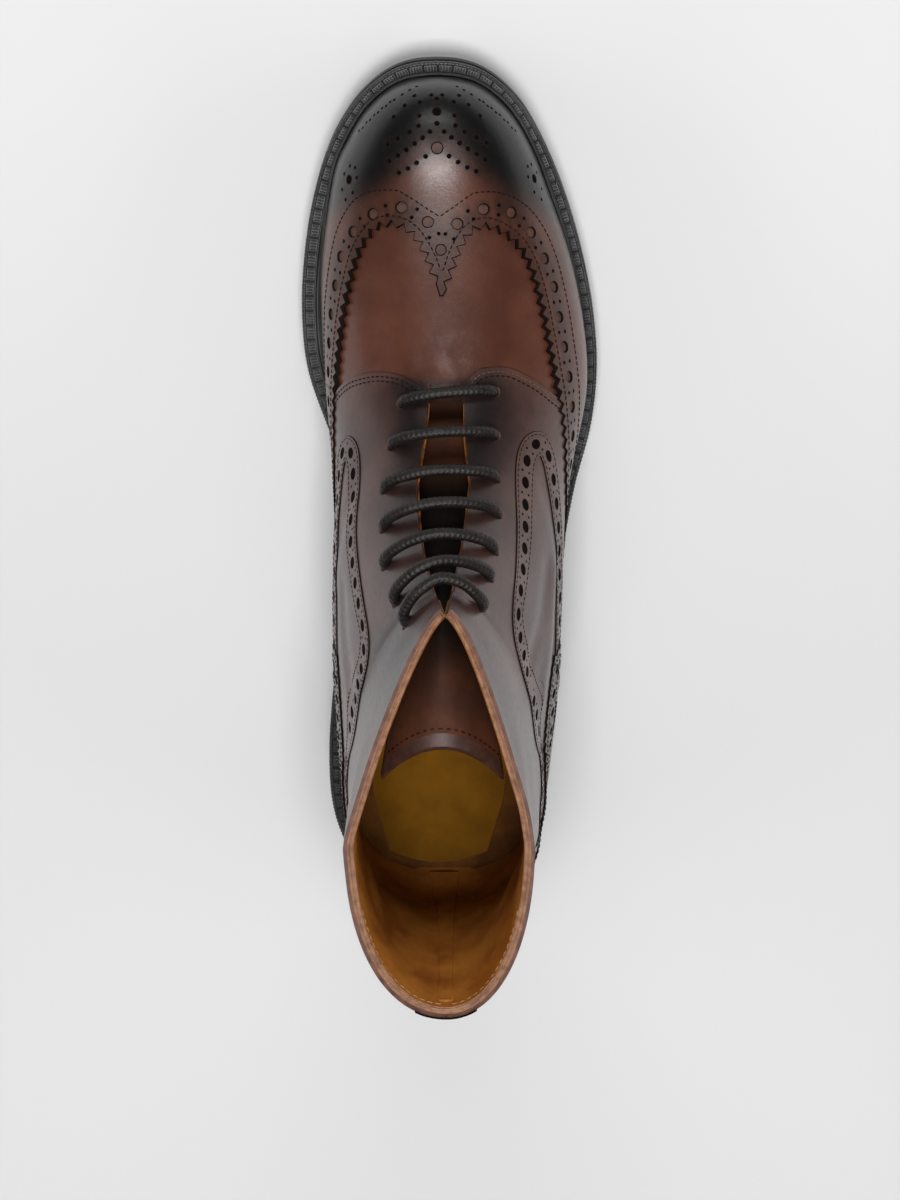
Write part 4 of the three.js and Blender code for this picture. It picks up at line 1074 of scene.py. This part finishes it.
def make_upper():
    """Vamp, lining and the raw edges of the facings and the collar"""
    parts = Parts()
    vamp = [[5.6, v] for v in np.linspace(-0.55, 0.55, 40)] + [[t, 0.6] for t in np.linspace(5.7, 8.2, 20)]
    vamp += [[8.3, v] for v in np.linspace(0.58, -0.58, 40)] + [[t, -0.6] for t in np.linspace(8.2, 5.7, 20)]
    panel(parts, vamp, [], high=0.0, low=-0.4, step=2.4, index=0, walls=False)
    for side in (1, -1):
        edge = np.array([[t, side * read_line(FACING_EDGE, t)] for t in np.arange(THROAT_START, 16.2, 0.1)])
        start = read_line(FACING_EDGE, 16.5)
        arounds = np.concatenate([np.linspace(start, 0.2, 14), np.linspace(0.21, 1.0, 60)]) * side
        collar = np.stack([collar_station(arounds), arounds], -1)
        edge = edge[edge[:, 0] < collar[0][0] - 0.05]
        back = [[t, float(side)] for t in np.arange(collar[-1][0] - 0.15, 13.0, -0.15)]
        stations = np.arange(13.0, 4.0, -0.15)
        foot = np.stack([stations, side * foot_around(stations, -2.0, 0.0, side)], -1)
        front = [[4.0, side * v] for v in np.linspace(foot[-1][1] * side - 0.02, 0.0, 24)]
        ridge = [[t, 0.0] for t in np.arange(4.15, THROAT_START, 0.15)]
        loop = np.vstack([edge, collar, back, foot[1:], front, ridge])
        panel(parts, loop, [], high=-UPPER_WALL, step=3.2, index=1, flip=True, walls=False)
        line = np.vstack([edge, collar])
        t, a = line[:, 0], line[:, 1]
        points = bare_face(t, a)
        along = np.gradient(points, axis=0)
        out = normal(t, a)
        away = np.cross(along, out) * side
        away /= np.linalg.norm(away, axis=1, keepdims=True)
        profile = [(-UPPER_WALL, 0.0), (-UPPER_WALL - 0.05, 1.1), (-2.0, 1.45), (-1.5, 1.45), (-0.85, 1.15),
                   (-0.6, 0.8), (-0.35, 0.95), (0.5, 0.5), (0.95, 0.2), (QUARTER_TOP, -0.05)]
        rows = np.stack([over(t, a, h) + away * w for h, w in profile])
        for part, kind in ((slice(0, 8), 2), (slice(7, None), 3)):
            p = rows[part].reshape(-1, 3)
            spread = np.broadcast_to(away, rows[part].shape).reshape(-1, 3)
            parts.add(p, facing_out(p, grid_faces(len(rows[part]), len(line)), spread), kind)
    seam = np.arange(13.3, collar_station(np.array([1.0]))[0] - 0.05, 0.1)
    loop = np.vstack([np.stack([seam, seam * 0 + 0.978], -1), np.stack([seam, seam * 0 + 1.022], -1)[::-1]])
    panel(parts, loop, [], high=-UPPER_WALL - 0.6, low=-UPPER_WALL + 0.1, step=3.0, index=1, flip=True,
          flare=0.3)
    obj = parts.build('upper_leather', [LEATHER, LINING, TAN_EDGE, BEVEL])
    return finish_piece(obj, ['upper'], 'leather')


# ---------------------------------------------------------------- tongue and lace

TONGUE_THICKNESS = 2.4
TONGUE_FREE_LENGTH = 54.0
TONGUE_EDGE = [[7.35, 0.20], [8.2, 0.24], [9.4, 0.25], [10.5, 0.21], [11.2, 0.17]]
TONGUE_HALF_WIDTH = 20.5
FREE_HEADING = [54, 40, 28, 18, 10, 5]
FREE_ARCH_BACK, FREE_ARCH_DOWN = 15.0, 12.0
HEM_ROWS = 3


def make_tongue():
    """Tongue under the facings, with a free end that leans back and a folded, stitched hem"""
    high = -(UPPER_WALL + 2 * 1.3 + 2 * LACE_RADIUS)
    columns = np.linspace(-1, 1, 41)
    stations = np.linspace(7.35, 11.2, 46)
    layers = []
    for k, height in enumerate((high, high - TONGUE_THICKNESS)):
        rows = [over(t, columns * read_line(TONGUE_EDGE, t), height) for t in stations]
        first = rows[-1]
        centre = first[20].copy()
        steps = 36
        for i in range(steps):
            place = (i + 0.5) / steps * len(FREE_HEADING) - 0.5
            heading = math.radians(np.interp(place, range(len(FREE_HEADING)), FREE_HEADING))
            centre = centre + np.array([0, math.cos(heading), math.sin(heading)]) * TONGUE_FREE_LENGTH / steps
            share = (i + 1) / steps
            hem = 0.45 * np.clip((share - 0.90) / 0.02, 0, 1)
            thin = k * TONGUE_THICKNESS * (1 - math.sin(heading)) + (k * 2 - 1) * hem
            wide = np.stack([columns * TONGUE_HALF_WIDTH, FREE_ARCH_BACK * columns ** 2,
                             -FREE_ARCH_DOWN * columns ** 2], -1)
            row = (first - first[20]) * (1 - share) + wide * share + centre - [0, 0, thin]
            rows.append(row)
        layers.append(np.array(rows))
    top, base = layers
    count = len(top)
    parts = Parts()
    faces = grid_faces(count, 41, flip=True)
    hem_start = (count - 1 - HEM_ROWS) * 40
    # Painted shade along the tongue: dark under the upper facings and where it rises from the throat, lighter
    # toward its tip
    shadow = np.interp(np.arange(count), [0, 14, 24, 52, 62, 76, count], [0.1, 0.2, 0.85, 1.0, 0.6, 0.1, 0.0])
    shadow = np.repeat(shadow, 41)
    for points, way in ((top.reshape(-1, 3), 1.0), (base.reshape(-1, 3), -1.0)):
        out = np.repeat([[0, -0.5 * way, way]], len(points), 0)
        parts.add(points, facing_out(points, faces[:hem_start], out), 0, burn=shadow)
        parts.add(points, facing_out(points, faces[hem_start:], out), 1)
    top_edge = np.vstack([top[:, 0], top[-1, 1:], top[::-1, -1][1:]])
    base_edge = np.vstack([base[:, 0], base[-1, 1:], base[::-1, -1][1:]])
    bulge = (top_edge + base_edge) / 2
    outward = (bulge - [2.0, 0.0, 0.0]) * [1, 0, 0]
    outward[count:count + 40] = [0, 1, 0]
    outward /= np.maximum(np.linalg.norm(outward, axis=1, keepdims=True), 1e-6)
    rows = np.stack([top_edge, bulge + outward * 0.7, base_edge])
    parts.add(rows.reshape(-1, 3), facing_out(rows.reshape(-1, 3), grid_faces(3, len(top_edge)),
                                              np.tile(outward, (3, 1))), 1)
    obj = parts.build('tongue_leather', [TONGUE, HEM])
    hem_row = top[-HEM_ROWS - 2]
    along = np.gradient(hem_row, axis=0)
    length = run_length(hem_row)
    at = np.arange(1.5, length[-1] - 1, 2.7)
    spot, run = read_rows(hem_row, length, at), read_rows(along, length, at)
    run /= np.linalg.norm(run, axis=1, keepdims=True)
    up = np.cross(run, np.array([0.0, 1.0, 0.12]))
    up *= np.sign(up[:, 2:3])
    dark_stitches.place(spot + up / np.linalg.norm(up, axis=1, keepdims=True) * 0.1, up, run)
    return finish_piece(obj, ['tongue'], 'tongue_leather')


def round_path(points, step):
    """Even steps along a smooth curve through some points"""
    points = np.asarray(points, float)
    fine = through_four(points, np.linspace(0, len(points) - 1, 24 * len(points)))
    length = run_length(fine)
    at = np.linspace(0, length[-1], int(length[-1] / step) + 1)
    return read_rows(fine, length, at)


def tube(path, radius_at, sides):
    """Rings of points along a path, with no twist, and the radius given by angle and distance"""
    along = np.gradient(path, axis=0)
    along /= np.linalg.norm(along, axis=1, keepdims=True)
    first = np.cross(along[0], [0.3, 0.2, 0.9])
    first /= np.linalg.norm(first)
    distance_run = run_length(path)
    angles = np.linspace(0, 2 * np.pi, sides, endpoint=False)
    rings = []
    for point, direction, run in zip(path, along, distance_run):
        first = first - direction * (first @ direction)
        first /= np.linalg.norm(first)
        second = np.cross(direction, first)
        radius = radius_at(angles, run)
        around = np.cos(angles)[:, None] * first + np.sin(angles)[:, None] * second
        rings.append(point + radius[:, None] * around)
    return np.array(rings)


LACE_SIDES = 32


def make_lace():
    """One braided cord: a bar over each row of holes, and runs inside the facings between the rows"""
    outside = QUARTER_TOP + LACE_RADIUS + 0.55
    within = -(UPPER_WALL + 1.3 + LACE_RADIUS)
    points = []
    for row in range(len(LACE_ROWS)):
        order = (-1, 1) if row % 2 == 0 else (1, -1)
        (t0, a0), (t1, a1) = lace_place(row, order[0]), lace_place(row, order[1])
        for height in (within, -1.0):
            points.append(over(t0, a0, height))
        for share in (0.05, 0.16, 0.32, 0.5, 0.68, 0.84, 0.95):
            height = outside + 1.9 * math.sin(math.pi * share) - (1.0 if share in (0.05, 0.95) else 0)
            points.append(over(t0 + (t1 - t0) * share, a0 + (a1 - a0) * share, height))
        for height in (-1.0, within):
            points.append(over(t1, a1, height))
        if row + 1 < len(LACE_ROWS):
            t2, a2 = lace_place(row + 1, order[1])
            points.append(over((t1 + t2) / 2, (a1 + a2) / 2, within))
    path = round_path(points, 0.36)

    def radius_at(angle, run):
        turn = 2 * math.pi * run / 7.0
        weave = np.maximum(np.sin(4 * angle + 4 * turn), np.sin(4 * angle - 4 * turn))
        return LACE_RADIUS * (0.93 + 0.07 * weave)
    rings = tube(path, radius_at, LACE_SIDES)
    parts = Parts()
    parts.add(rings.reshape(-1, 3), grid_faces(len(rings), LACE_SIDES, closed=True, flip=True), 0)
    for ring, flip in ((rings[0], False), (rings[-1], True)):
        cap = np.vstack([ring, ring.mean(axis=0)])
        fan = [[k, (k + 1) % LACE_SIDES, LACE_SIDES] for k in range(LACE_SIDES)]
        parts.add(cap, [f[::-1] for f in fan] if flip else fan, 0)
    obj = parts.build('lace_cord', [CORD])
    return finish_piece(obj, ['lace'], 'lace_cord')


# ---------------------------------------------------------------- sole

# Outline of the sole: along, axis and half width
OUTLINE = np.array([
    [0.000, 0.042, 0.012], [0.004, 0.042, 0.089], [0.020, 0.042, 0.210], [0.055, 0.044, 0.306],
    [0.110, 0.046, 0.359], [0.180, 0.042, 0.374], [0.260, 0.031, 0.369], [0.340, 0.007, 0.362],
    [0.420, -0.026, 0.362], [0.490, -0.043, 0.385], [0.560, -0.031, 0.450], [0.630, -0.008, 0.492],
    [0.700, 0.008, 0.494], [0.770, 0.022, 0.469], [0.840, 0.035, 0.422], [0.900, 0.043, 0.359],
    [0.945, 0.043, 0.287], [0.973, 0.043, 0.215], [0.990, 0.043, 0.145], [0.998, 0.043, 0.075],
    [1.000, 0.043, 0.012],
])


def outline_loop(step):
    """Points of the sole's edge in plan, all the way round, with their outward directions"""
    rows = through_four(OUTLINE, np.linspace(0, len(OUTLINE) - 1, 900))
    s = rows[:, 0] * SOLE_LENGTH
    x = rows[:, 1] * SOLE_WIDTH
    half = rows[:, 2] * SOLE_WIDTH
    medial = np.stack([x + half, sole_y(s)], -1)
    lateral = np.stack([x - half, sole_y(s)], -1)
    loop = np.vstack([medial, lateral[::-1]])
    closed = np.vstack([loop, loop[:1]])
    length = run_length(closed)
    at = np.arange(0, length[-1], length[-1] / round(length[-1] / step))
    even = read_rows(closed, length, at)
    for _ in range(3):
        even = (np.roll(even, 1, 0) + 2 * even + np.roll(even, -1, 0)) / 4
    along = np.roll(even, -1, 0) - np.roll(even, 1, 0)
    along /= np.linalg.norm(along, axis=1, keepdims=True)
    outward = np.stack([along[:, 1], -along[:, 0]], -1)
    if np.sum(outward * (even - even.mean(axis=0))) < 0:
        outward = -outward
    return even, outward, along


def sweep(parts, profile, base, index=0, *, loop):
    """Profile of (distance in from the edge, height over a base) carried round the sole's outline"""
    even, outward, _ = loop
    rows = []
    for inset, height in profile:
        plan = even - outward * inset
        rows.append(np.column_stack([plan, base(SOLE_LENGTH / 2 - plan[:, 1]) + height]))
    rows = np.array(rows)
    faces = grid_faces(len(profile), len(even), closed=True)
    p = rows.reshape(-1, 3)
    test = faces[0]
    n = np.cross(p[test[1]] - p[test[0]], p[test[2]] - p[test[0]])
    want = np.append(outward[0], 0.0) if profile[0][1] != profile[1][1] else np.array([0, 0, 1.0])
    if n @ want < 0:
        faces = [f[::-1] for f in faces]
    parts.add(p, faces, index)
    return rows


def fill(parts, ring, base, height, up):
    """Flat cover inside a ring of the outline, in rows across the sole"""
    plan = ring[:, :2]
    order = np.argsort(plan[:, 1])
    low, high = plan[order[0], 1], plan[order[-1], 1]
    ys = np.linspace(low + 0.02, high - 0.02, 150)
    left, right = [], []
    for y in ys:
        nxt = np.roll(plan, -1, 0)
        hit = (plan[:, 1] > y) != (nxt[:, 1] > y)
        p, q = plan[hit], nxt[hit]
        xs = p[:, 0] + (y - p[:, 1]) / (q[:, 1] - p[:, 1]) * (q[:, 0] - p[:, 0])
        left.append(xs.min())
        right.append(xs.max())
    columns = np.linspace(0, 1, 9)
    rows = np.array([[[l + (r - l) * c, y, base(SOLE_LENGTH / 2 - y) + height] for c in columns]
                     for y, l, r in zip(ys, left, right)])
    p = rows.reshape(-1, 3)
    outward = np.repeat([[0, 0, 1.0 if up else -1.0]], len(p), 0)
    parts.add(p, facing_out(p, grid_faces(len(ys), 9), outward))


def foot_loop(height, rise, step=1.2):
    """Line where the face at a height meets a rise over the welt, all the way round"""
    stations = np.concatenate([np.arange(low, high, step_t) for low, high, step_t in
                               ((0.5, 1.6, 0.02), (1.6, 12.6, 0.06), (12.6, 13.6, 0.02))])
    sides = []
    for side in (1, -1):
        a = foot_around(stations, rise, height, side)
        ok = a < 0.9995
        t, a = stations[ok], a[ok] * side
        sides.append(bare_face(t, a) + normal(t, a) * height)
    loop = np.vstack([sides[0], sides[1][::-1]])
    closed = np.vstack([loop, loop[:1]])
    length = run_length(closed)
    at = np.arange(0, length[-1], length[-1] / round(length[-1] / step))
    even = read_rows(closed, length, at)
    for _ in range(6):
        even = (np.roll(even, 1, 0) + 2 * even + np.roll(even, -1, 0)) / 4
    along = np.roll(even, -1, 0) - np.roll(even, 1, 0)
    along[:, 2] = 0
    along /= np.linalg.norm(along, axis=1, keepdims=True)
    outward = np.column_stack([along[:, 1], -along[:, 0]])
    if np.sum(outward * (even[:, :2] - even[:, :2].mean(axis=0))) < 0:
        outward = -outward
    return even, outward, along


def make_sole():
    """Welt with its wheeled rim and storm ridge, then the midsole, the outsole and the heel"""
    loop = outline_loop(1.1)
    welt = Parts()
    profile = [(0.9, -WELT + 0.3), (0.0, -WELT + 0.9), (-0.1, -1.5), (0.0, -0.5), (0.3, -0.1), (0.8, 0.0),
               (1.2, -0.05), (1.3, -0.85), (4.1, -0.85), (4.2, 0.0), (4.6, 0.25), (5.0, 0.0), (5.2, -0.85),
               (5.9, -0.85), (6.2, -0.1), (11.5, -0.1)]
    sweep(welt, profile[:8], feather, 0, loop=loop)
    sweep(welt, profile[7:9], feather, 1, loop=loop)
    sweep(welt, profile[8:], feather, 0, loop=loop)
    foot, outward, _ = foot_loop(CAP_TOP, 0.4)
    ridge = [(0.05, -1.0), (0.1, 1.3), (0.45, 1.85), (0.9, 1.9), (1.3, 1.5), (1.6, 0.6), (1.7, -1.0)]
    rows = []
    for gap, height in ridge:
        plan = foot[:, :2] + outward * gap
        rows.append(np.column_stack([plan, feather(SOLE_LENGTH / 2 - plan[:, 1]) + height]))
    rows = np.array(rows)
    p = rows.reshape(-1, 3)
    around = np.concatenate([np.column_stack([outward * (k - 2.5), np.full(len(foot), 1.2)])
                             for k in range(len(ridge))])
    welt.add(p, facing_out(p, grid_faces(len(ridge), len(foot), closed=True), around), 0)
    obj = welt.build('storm_welt', [WELT_RUBBER, GROOVE])
    finish_piece(obj, ['welt'], 'rubber')

    even, out, run = loop
    length = run_length(even)

    def around_edge(pitch, inset, height, start=0.0):
        at = np.arange(start, length[-1], pitch)
        plan, o, r = (read_rows(rows, length, at) for rows in (even, out, run))
        plan = plan - o * inset
        s = SOLE_LENGTH / 2 - plan[:, 1]
        slope = feather(s - r[:, 1] * 0.5) - feather(s + r[:, 1] * 0.5)
        direction = np.column_stack([r, slope])
        points = np.column_stack([plan, feather(s) + height])
        ups = np.tile([0.0, 0.0, 1.0], (len(points), 1))
        return points, ups, direction
    pitch = 5.5
    ribs = [around_edge(pitch, 2.75, -0.05, start=k * 1.1) for k in range(4)]
    joined = [np.concatenate(v) for v in zip(*ribs)]
    scatter('welt_stitch_ribs', *joined, (0.8, 2.6, 1.0), BLACK_THREAD, shape='sphere', slot='rubber')
    blocks = around_edge(pitch, 2.75, -0.55, start=1.65)
    scatter('welt_stitch_beds', *blocks, (4.3, 2.8, 0.6), RUBBER, shape='box', slot='rubber')
    notches = around_edge(1.4, 0.5, -0.25)
    scatter('welt_wheeling', *notches, (0.8, 1.5, 0.9), WELT_RUBBER, shape='sphere', slot='rubber')

    middle = Parts()
    profile = [(7.0, MIDSOLE - 0.1), (0.9, MIDSOLE - 0.1), (0.8, MIDSOLE - 0.35), (0.8, 0.65), (0.95, 0.35),
               (7.0, 0.3)]
    sweep(middle, profile, lambda s: tread_height(s) + OUTSOLE, loop=loop)
    obj = middle.build('midsole_rubber', [RUBBER])
    finish_piece(obj, ['midsole'], 'rubber')

    outsole = Parts()
    side_profile = [(0.8, OUTSOLE), (0.25, OUTSOLE - 0.1), (0.0, OUTSOLE - 0.5), (0.0, 4.4), (0.25, 4.2),
                    (0.25, 3.9), (0.0, 3.7), (0.0, 0.9), (0.3, 0.3), (1.0, 0.0)]
    rows = sweep(outsole, side_profile, tread_height, loop=loop)
    fill(outsole, rows[0], tread_height, OUTSOLE, True)
    fill(outsole, rows[-1], tread_height, 0.0, False)
    obj = outsole.build('outsole_rubber', [RUBBER])
    finish_piece(obj, ['outsole'], 'rubber')

    make_heel('heel_block_rubber', HEEL_LIFT + 0.2, HEEL_HEIGHT, 0.8, 'heel_block', loop)
    make_heel('heel_lift_rubber', 0.0, HEEL_LIFT, 0.0, 'heel_lift', loop)


def breast_y(x):
    """Front of the heel, hollowed toward its middle"""
    centre = sole_y(HEEL_LENGTH - BREAST_DEPTH + BREAST_RADIUS)
    dx = x - 0.031 * SOLE_WIDTH
    curve = centre + np.sqrt(np.maximum(BREAST_RADIUS ** 2 - dx ** 2, 0))
    return np.maximum(curve, sole_y(HEEL_LENGTH))


def make_heel(name, low, high, inset, node, loop):
    even, out, _ = loop
    plan = even - out * inset
    keep = plan[:, 1] > breast_y(plan[:, 0])
    start = next(k for k in range(len(keep)) if keep[k] and not keep[k - 1])
    order = [(start + k) % len(keep) for k in range(int(keep.sum()))]
    arc, arc_out = plan[order], out[order]
    ends = np.linspace(arc[-1][0], arc[0][0], 30)
    front = np.column_stack([ends, breast_y(ends)])
    ring = np.vstack([arc, front])
    push = np.vstack([arc_out, np.repeat([[0.0, -1.0]], len(front), 0)])
    layers = [(0.6, low), (0.15, low + 0.15), (0.0, low + 0.6)]
    if high - low > 10:
        for z in (11.5, 18.0):
            layers += [(0.0, z - 0.35), (0.28, z - 0.1), (0.28, z + 0.1), (0.0, z + 0.35)]
    layers += [(0.0, high - 0.5), (0.15, high - 0.1), (0.5, high)]
    rows = np.array([np.column_stack([ring - push * d, np.full(len(ring), z)]) for d, z in layers])
    p = rows.reshape(-1, 3)
    around = np.tile(np.column_stack([push, np.zeros(len(push))]), (len(layers), 1))
    parts = Parts()
    parts.add(p, facing_out(p, grid_faces(len(layers), len(ring), closed=True), around), 0)
    fill(parts, rows[0], lambda s: np.asarray(s) * 0 + low, 0.0, False)
    fill(parts, rows[-1], lambda s: np.asarray(s) * 0 + high, 0.0, True)
    obj = parts.build(name, [RUBBER])
    finish_piece(obj, [node], 'rubber')


# Half width of the sock at distances from the middle of the boot toward the heel
SOCK_SHAPE = [[-60, 22.0], [60, 24.5], [100, 25.5], [116, 24.0], [139, 17.5], [145, 16.5]]
SOCK_BACK = 137.0
SOCK_AXIS = 4.2


def make_sock():
    """Insole board with a thinner, narrower sock of pale leather over it"""
    loop, _, _ = foot_loop(-UPPER_WALL - 0.2, 1.3, 1.5)
    parts = Parts()
    columns = np.linspace(-1, 1, 25)
    ys = np.linspace(loop[:, 1].min() + 0.4, loop[:, 1].max() - 0.4, 150)
    rows, middles = [], []
    for y in ys:
        nxt = np.roll(loop, -1, 0)
        hit = (loop[:, 1] > y) != (nxt[:, 1] > y)
        p, q = loop[hit], nxt[hit]
        xs = p[:, 0] + (y - p[:, 1]) / (q[:, 1] - p[:, 1]) * (q[:, 0] - p[:, 0])
        middle, half = (xs.max() + xs.min()) / 2, (xs.max() - xs.min()) / 2
        z = feather(SOLE_LENGTH / 2 - y) + 1.4 + 1.6 * np.abs(columns) ** 8
        rows.append(np.column_stack([middle + half * columns, np.full(25, y), z]))
        middles.append([middle, half])
    p = np.array(rows).reshape(-1, 3)
    parts.add(p, facing_out(p, grid_faces(len(ys), 25), np.repeat([[0, 0, 1.0]], len(p), 0)), 1)
    middles = np.array(middles)
    rows = []
    for share in np.linspace(0, 1, 90):
        end = SOCK_BACK + 4.5 * (1 - columns ** 2)
        y = -60 + (end + 60) * share
        blend = np.clip((y - 60) / 40, 0, 1)
        middle = np.interp(y, ys, middles[:, 0]) * (1 - blend) + SOCK_AXIS * blend
        half = np.minimum(read_line(SOCK_SHAPE, y), np.interp(y, ys, middles[:, 1]) - 1.5)
        rows.append(np.column_stack([middle + half * columns, y, feather(SOLE_LENGTH / 2 - y) + 2.5]))
    rows = np.array(rows)
    p = rows.reshape(-1, 3)
    parts.add(p, facing_out(p, grid_faces(len(rows), 25), np.repeat([[0, 0, 1.0]], len(p), 0)), 0)
    edge = np.vstack([rows[:, 0], rows[-1, 1:], rows[::-1, -1][1:]])
    centre = edge - [SOCK_AXIS, 60.0, 0.0]
    lip = np.stack([edge, edge + centre * 0.004 - [0, 0, 0.3], edge + centre * 0.004 - [0, 0, 1.2]])
    q = lip.reshape(-1, 3)
    parts.add(q, facing_out(q, grid_faces(3, len(edge)), np.tile(centre, (3, 1))), 2)
    obj = parts.build('sock_leather', [SOCK, INSOLE, BEVEL])
    return finish_piece(obj, ['insole'], 'insole_leather')


make_upper()
make_wing()
make_quarter(1, 'quarter_medial')
make_quarter(-1, 'quarter_lateral')
make_strip(1, 'strip_medial')
make_strip(-1, 'strip_lateral')
make_counter()
make_backstay()
make_tongue()
make_lace()
make_sock()
make_sole()
dark_stitches.build()
fine_stitches.build()

# Light stitches along the inner back edge of the collar
collar_stitches = Stitches('collar_stitches', TAN_THREAD, 2.6, 0.6, slot='leather')
for side in (1, -1):
    arounds = np.linspace(0.62, 0.985, 60) * side
    collar_stitches.row(np.stack([collar_station(arounds) - 0.07, arounds], -1), -UPPER_WALL - 0.05)
collar_stitches.build()
tan_stitches.build()

# ---------------------------------------------------------------- stage, light and camera


def make_stage():
    """Pale studio floor, which is no part of the boot"""
    size = 3.0
    mesh = bpy.data.meshes.new('floor')
    corners = ((-1, -1), (1, -1), (1, 1), (-1, 1))
    mesh.from_pydata([(x * size, y * size, -0.0002) for x, y in corners], [], [(0, 1, 2, 3)])
    s = Shader('pale_studio_floor', Roughness=0.8)
    place = s.add('ShaderNodeTexCoord', output='Object')
    # The floor turns a little darker toward the heel: a painted falloff of the light
    along = s.add('ShaderNodeSeparateXYZ', output='Y', Vector=place)
    along = s.add('ShaderNodeMapRange', SOFT, Value=along, From_Min=-0.20, From_Max=0.25)
    colour = s.add('ShaderNodeMix', COLOURS, 2, i0=along, i6=linear('#e2e2e2'), i7=linear('#dcdcdc'))
    s.feed(s.bsdf, {'Base_Color': colour})
    mesh.materials.append(s.material)
    obj = bpy.data.objects.new('floor', mesh)
    bpy.context.scene.collection.objects.link(obj)


def area_light(name, place, target, size, power, glossy=True):
    """Soft rectangular light that faces a target, and is left out of the reflections where it isn't glossy"""
    data = bpy.data.lights.new(name, 'AREA')
    data.shape, data.size, data.size_y, data.energy = 'RECTANGLE', size[0], size[1], power
    obj = bpy.data.objects.new(name, data)
    obj.location = place
    obj.visible_glossy = glossy
    obj.rotation_euler = (Vector(target) - Vector(place)).to_track_quat('-Z', 'Y').to_euler()
    bpy.context.scene.collection.objects.link(obj)


make_stage()
area_light('overhead_softbox', (0.0, 0.03, 1.62), (0, 0.0, 0.05), (0.50, 0.42), 17)
area_light('toe_softbox', (0.05, -1.25, 1.15), (0, -0.05, 0.05), (0.8, 0.35), 3.8)
area_light('toe_fill', (0.0, -1.7, 0.9), (0, -0.1, 0.05), (1.6, 0.8), 6, glossy=False)
area_light('left_softbox', (1.7, 0.0, 0.75), (0, 0, 0.05), (1.8, 0.8), 11, glossy=False)
area_light('right_softbox', (-1.7, 0.1, 0.75), (0, 0, 0.05), (1.8, 0.8), 11, glossy=False)
area_light('heel_softbox', (0.0, 1.7, 1.1), (0, 0.05, 0.1), (1.6, 0.6), 6, glossy=False)
world = bpy.data.worlds.new('studio')
world.use_nodes = True
world.node_tree.nodes['Background'].inputs['Color'].default_value = (1, 1, 1, 1)
world.node_tree.nodes['Background'].inputs['Strength'].default_value = 0.08
bpy.context.scene.world = world
bpy.context.scene.view_settings.view_transform = 'Standard'

# The photograph is 900 by 1200 pixels. The camera is 1.4 m off, leaning 15 degrees to the toe side
PHOTO_HEIGHT = 1200
FOCAL_PIXELS = 3767
DISTANCE = 1.4
LEAN = math.radians(15)
AXIS_ROW = 466.3
pitch = math.atan((PHOTO_HEIGHT / 2 - AXIS_ROW) / FOCAL_PIXELS)
camera_data = bpy.data.cameras.new('camera')
camera_data.sensor_fit = 'VERTICAL'
camera_data.sensor_height = 36.0
camera_data.lens = FOCAL_PIXELS / PHOTO_HEIGHT * 36.0
camera_data.clip_end = 20
camera = bpy.data.objects.new('camera', camera_data)
backward = Vector((0, -math.sin(LEAN), math.cos(LEAN)))
place = backward * DISTANCE
view = LEAN + pitch
back = Vector((0, -math.sin(view), math.cos(view)))
up = Vector((0, -math.cos(view), -math.sin(view)))
right = up.cross(back)
camera.matrix_world = Matrix.Translation(place) @ Matrix((right, up, back)).transposed().to_4x4()
bpy.context.scene.collection.objects.link(camera)
bpy.context.scene.camera = camera
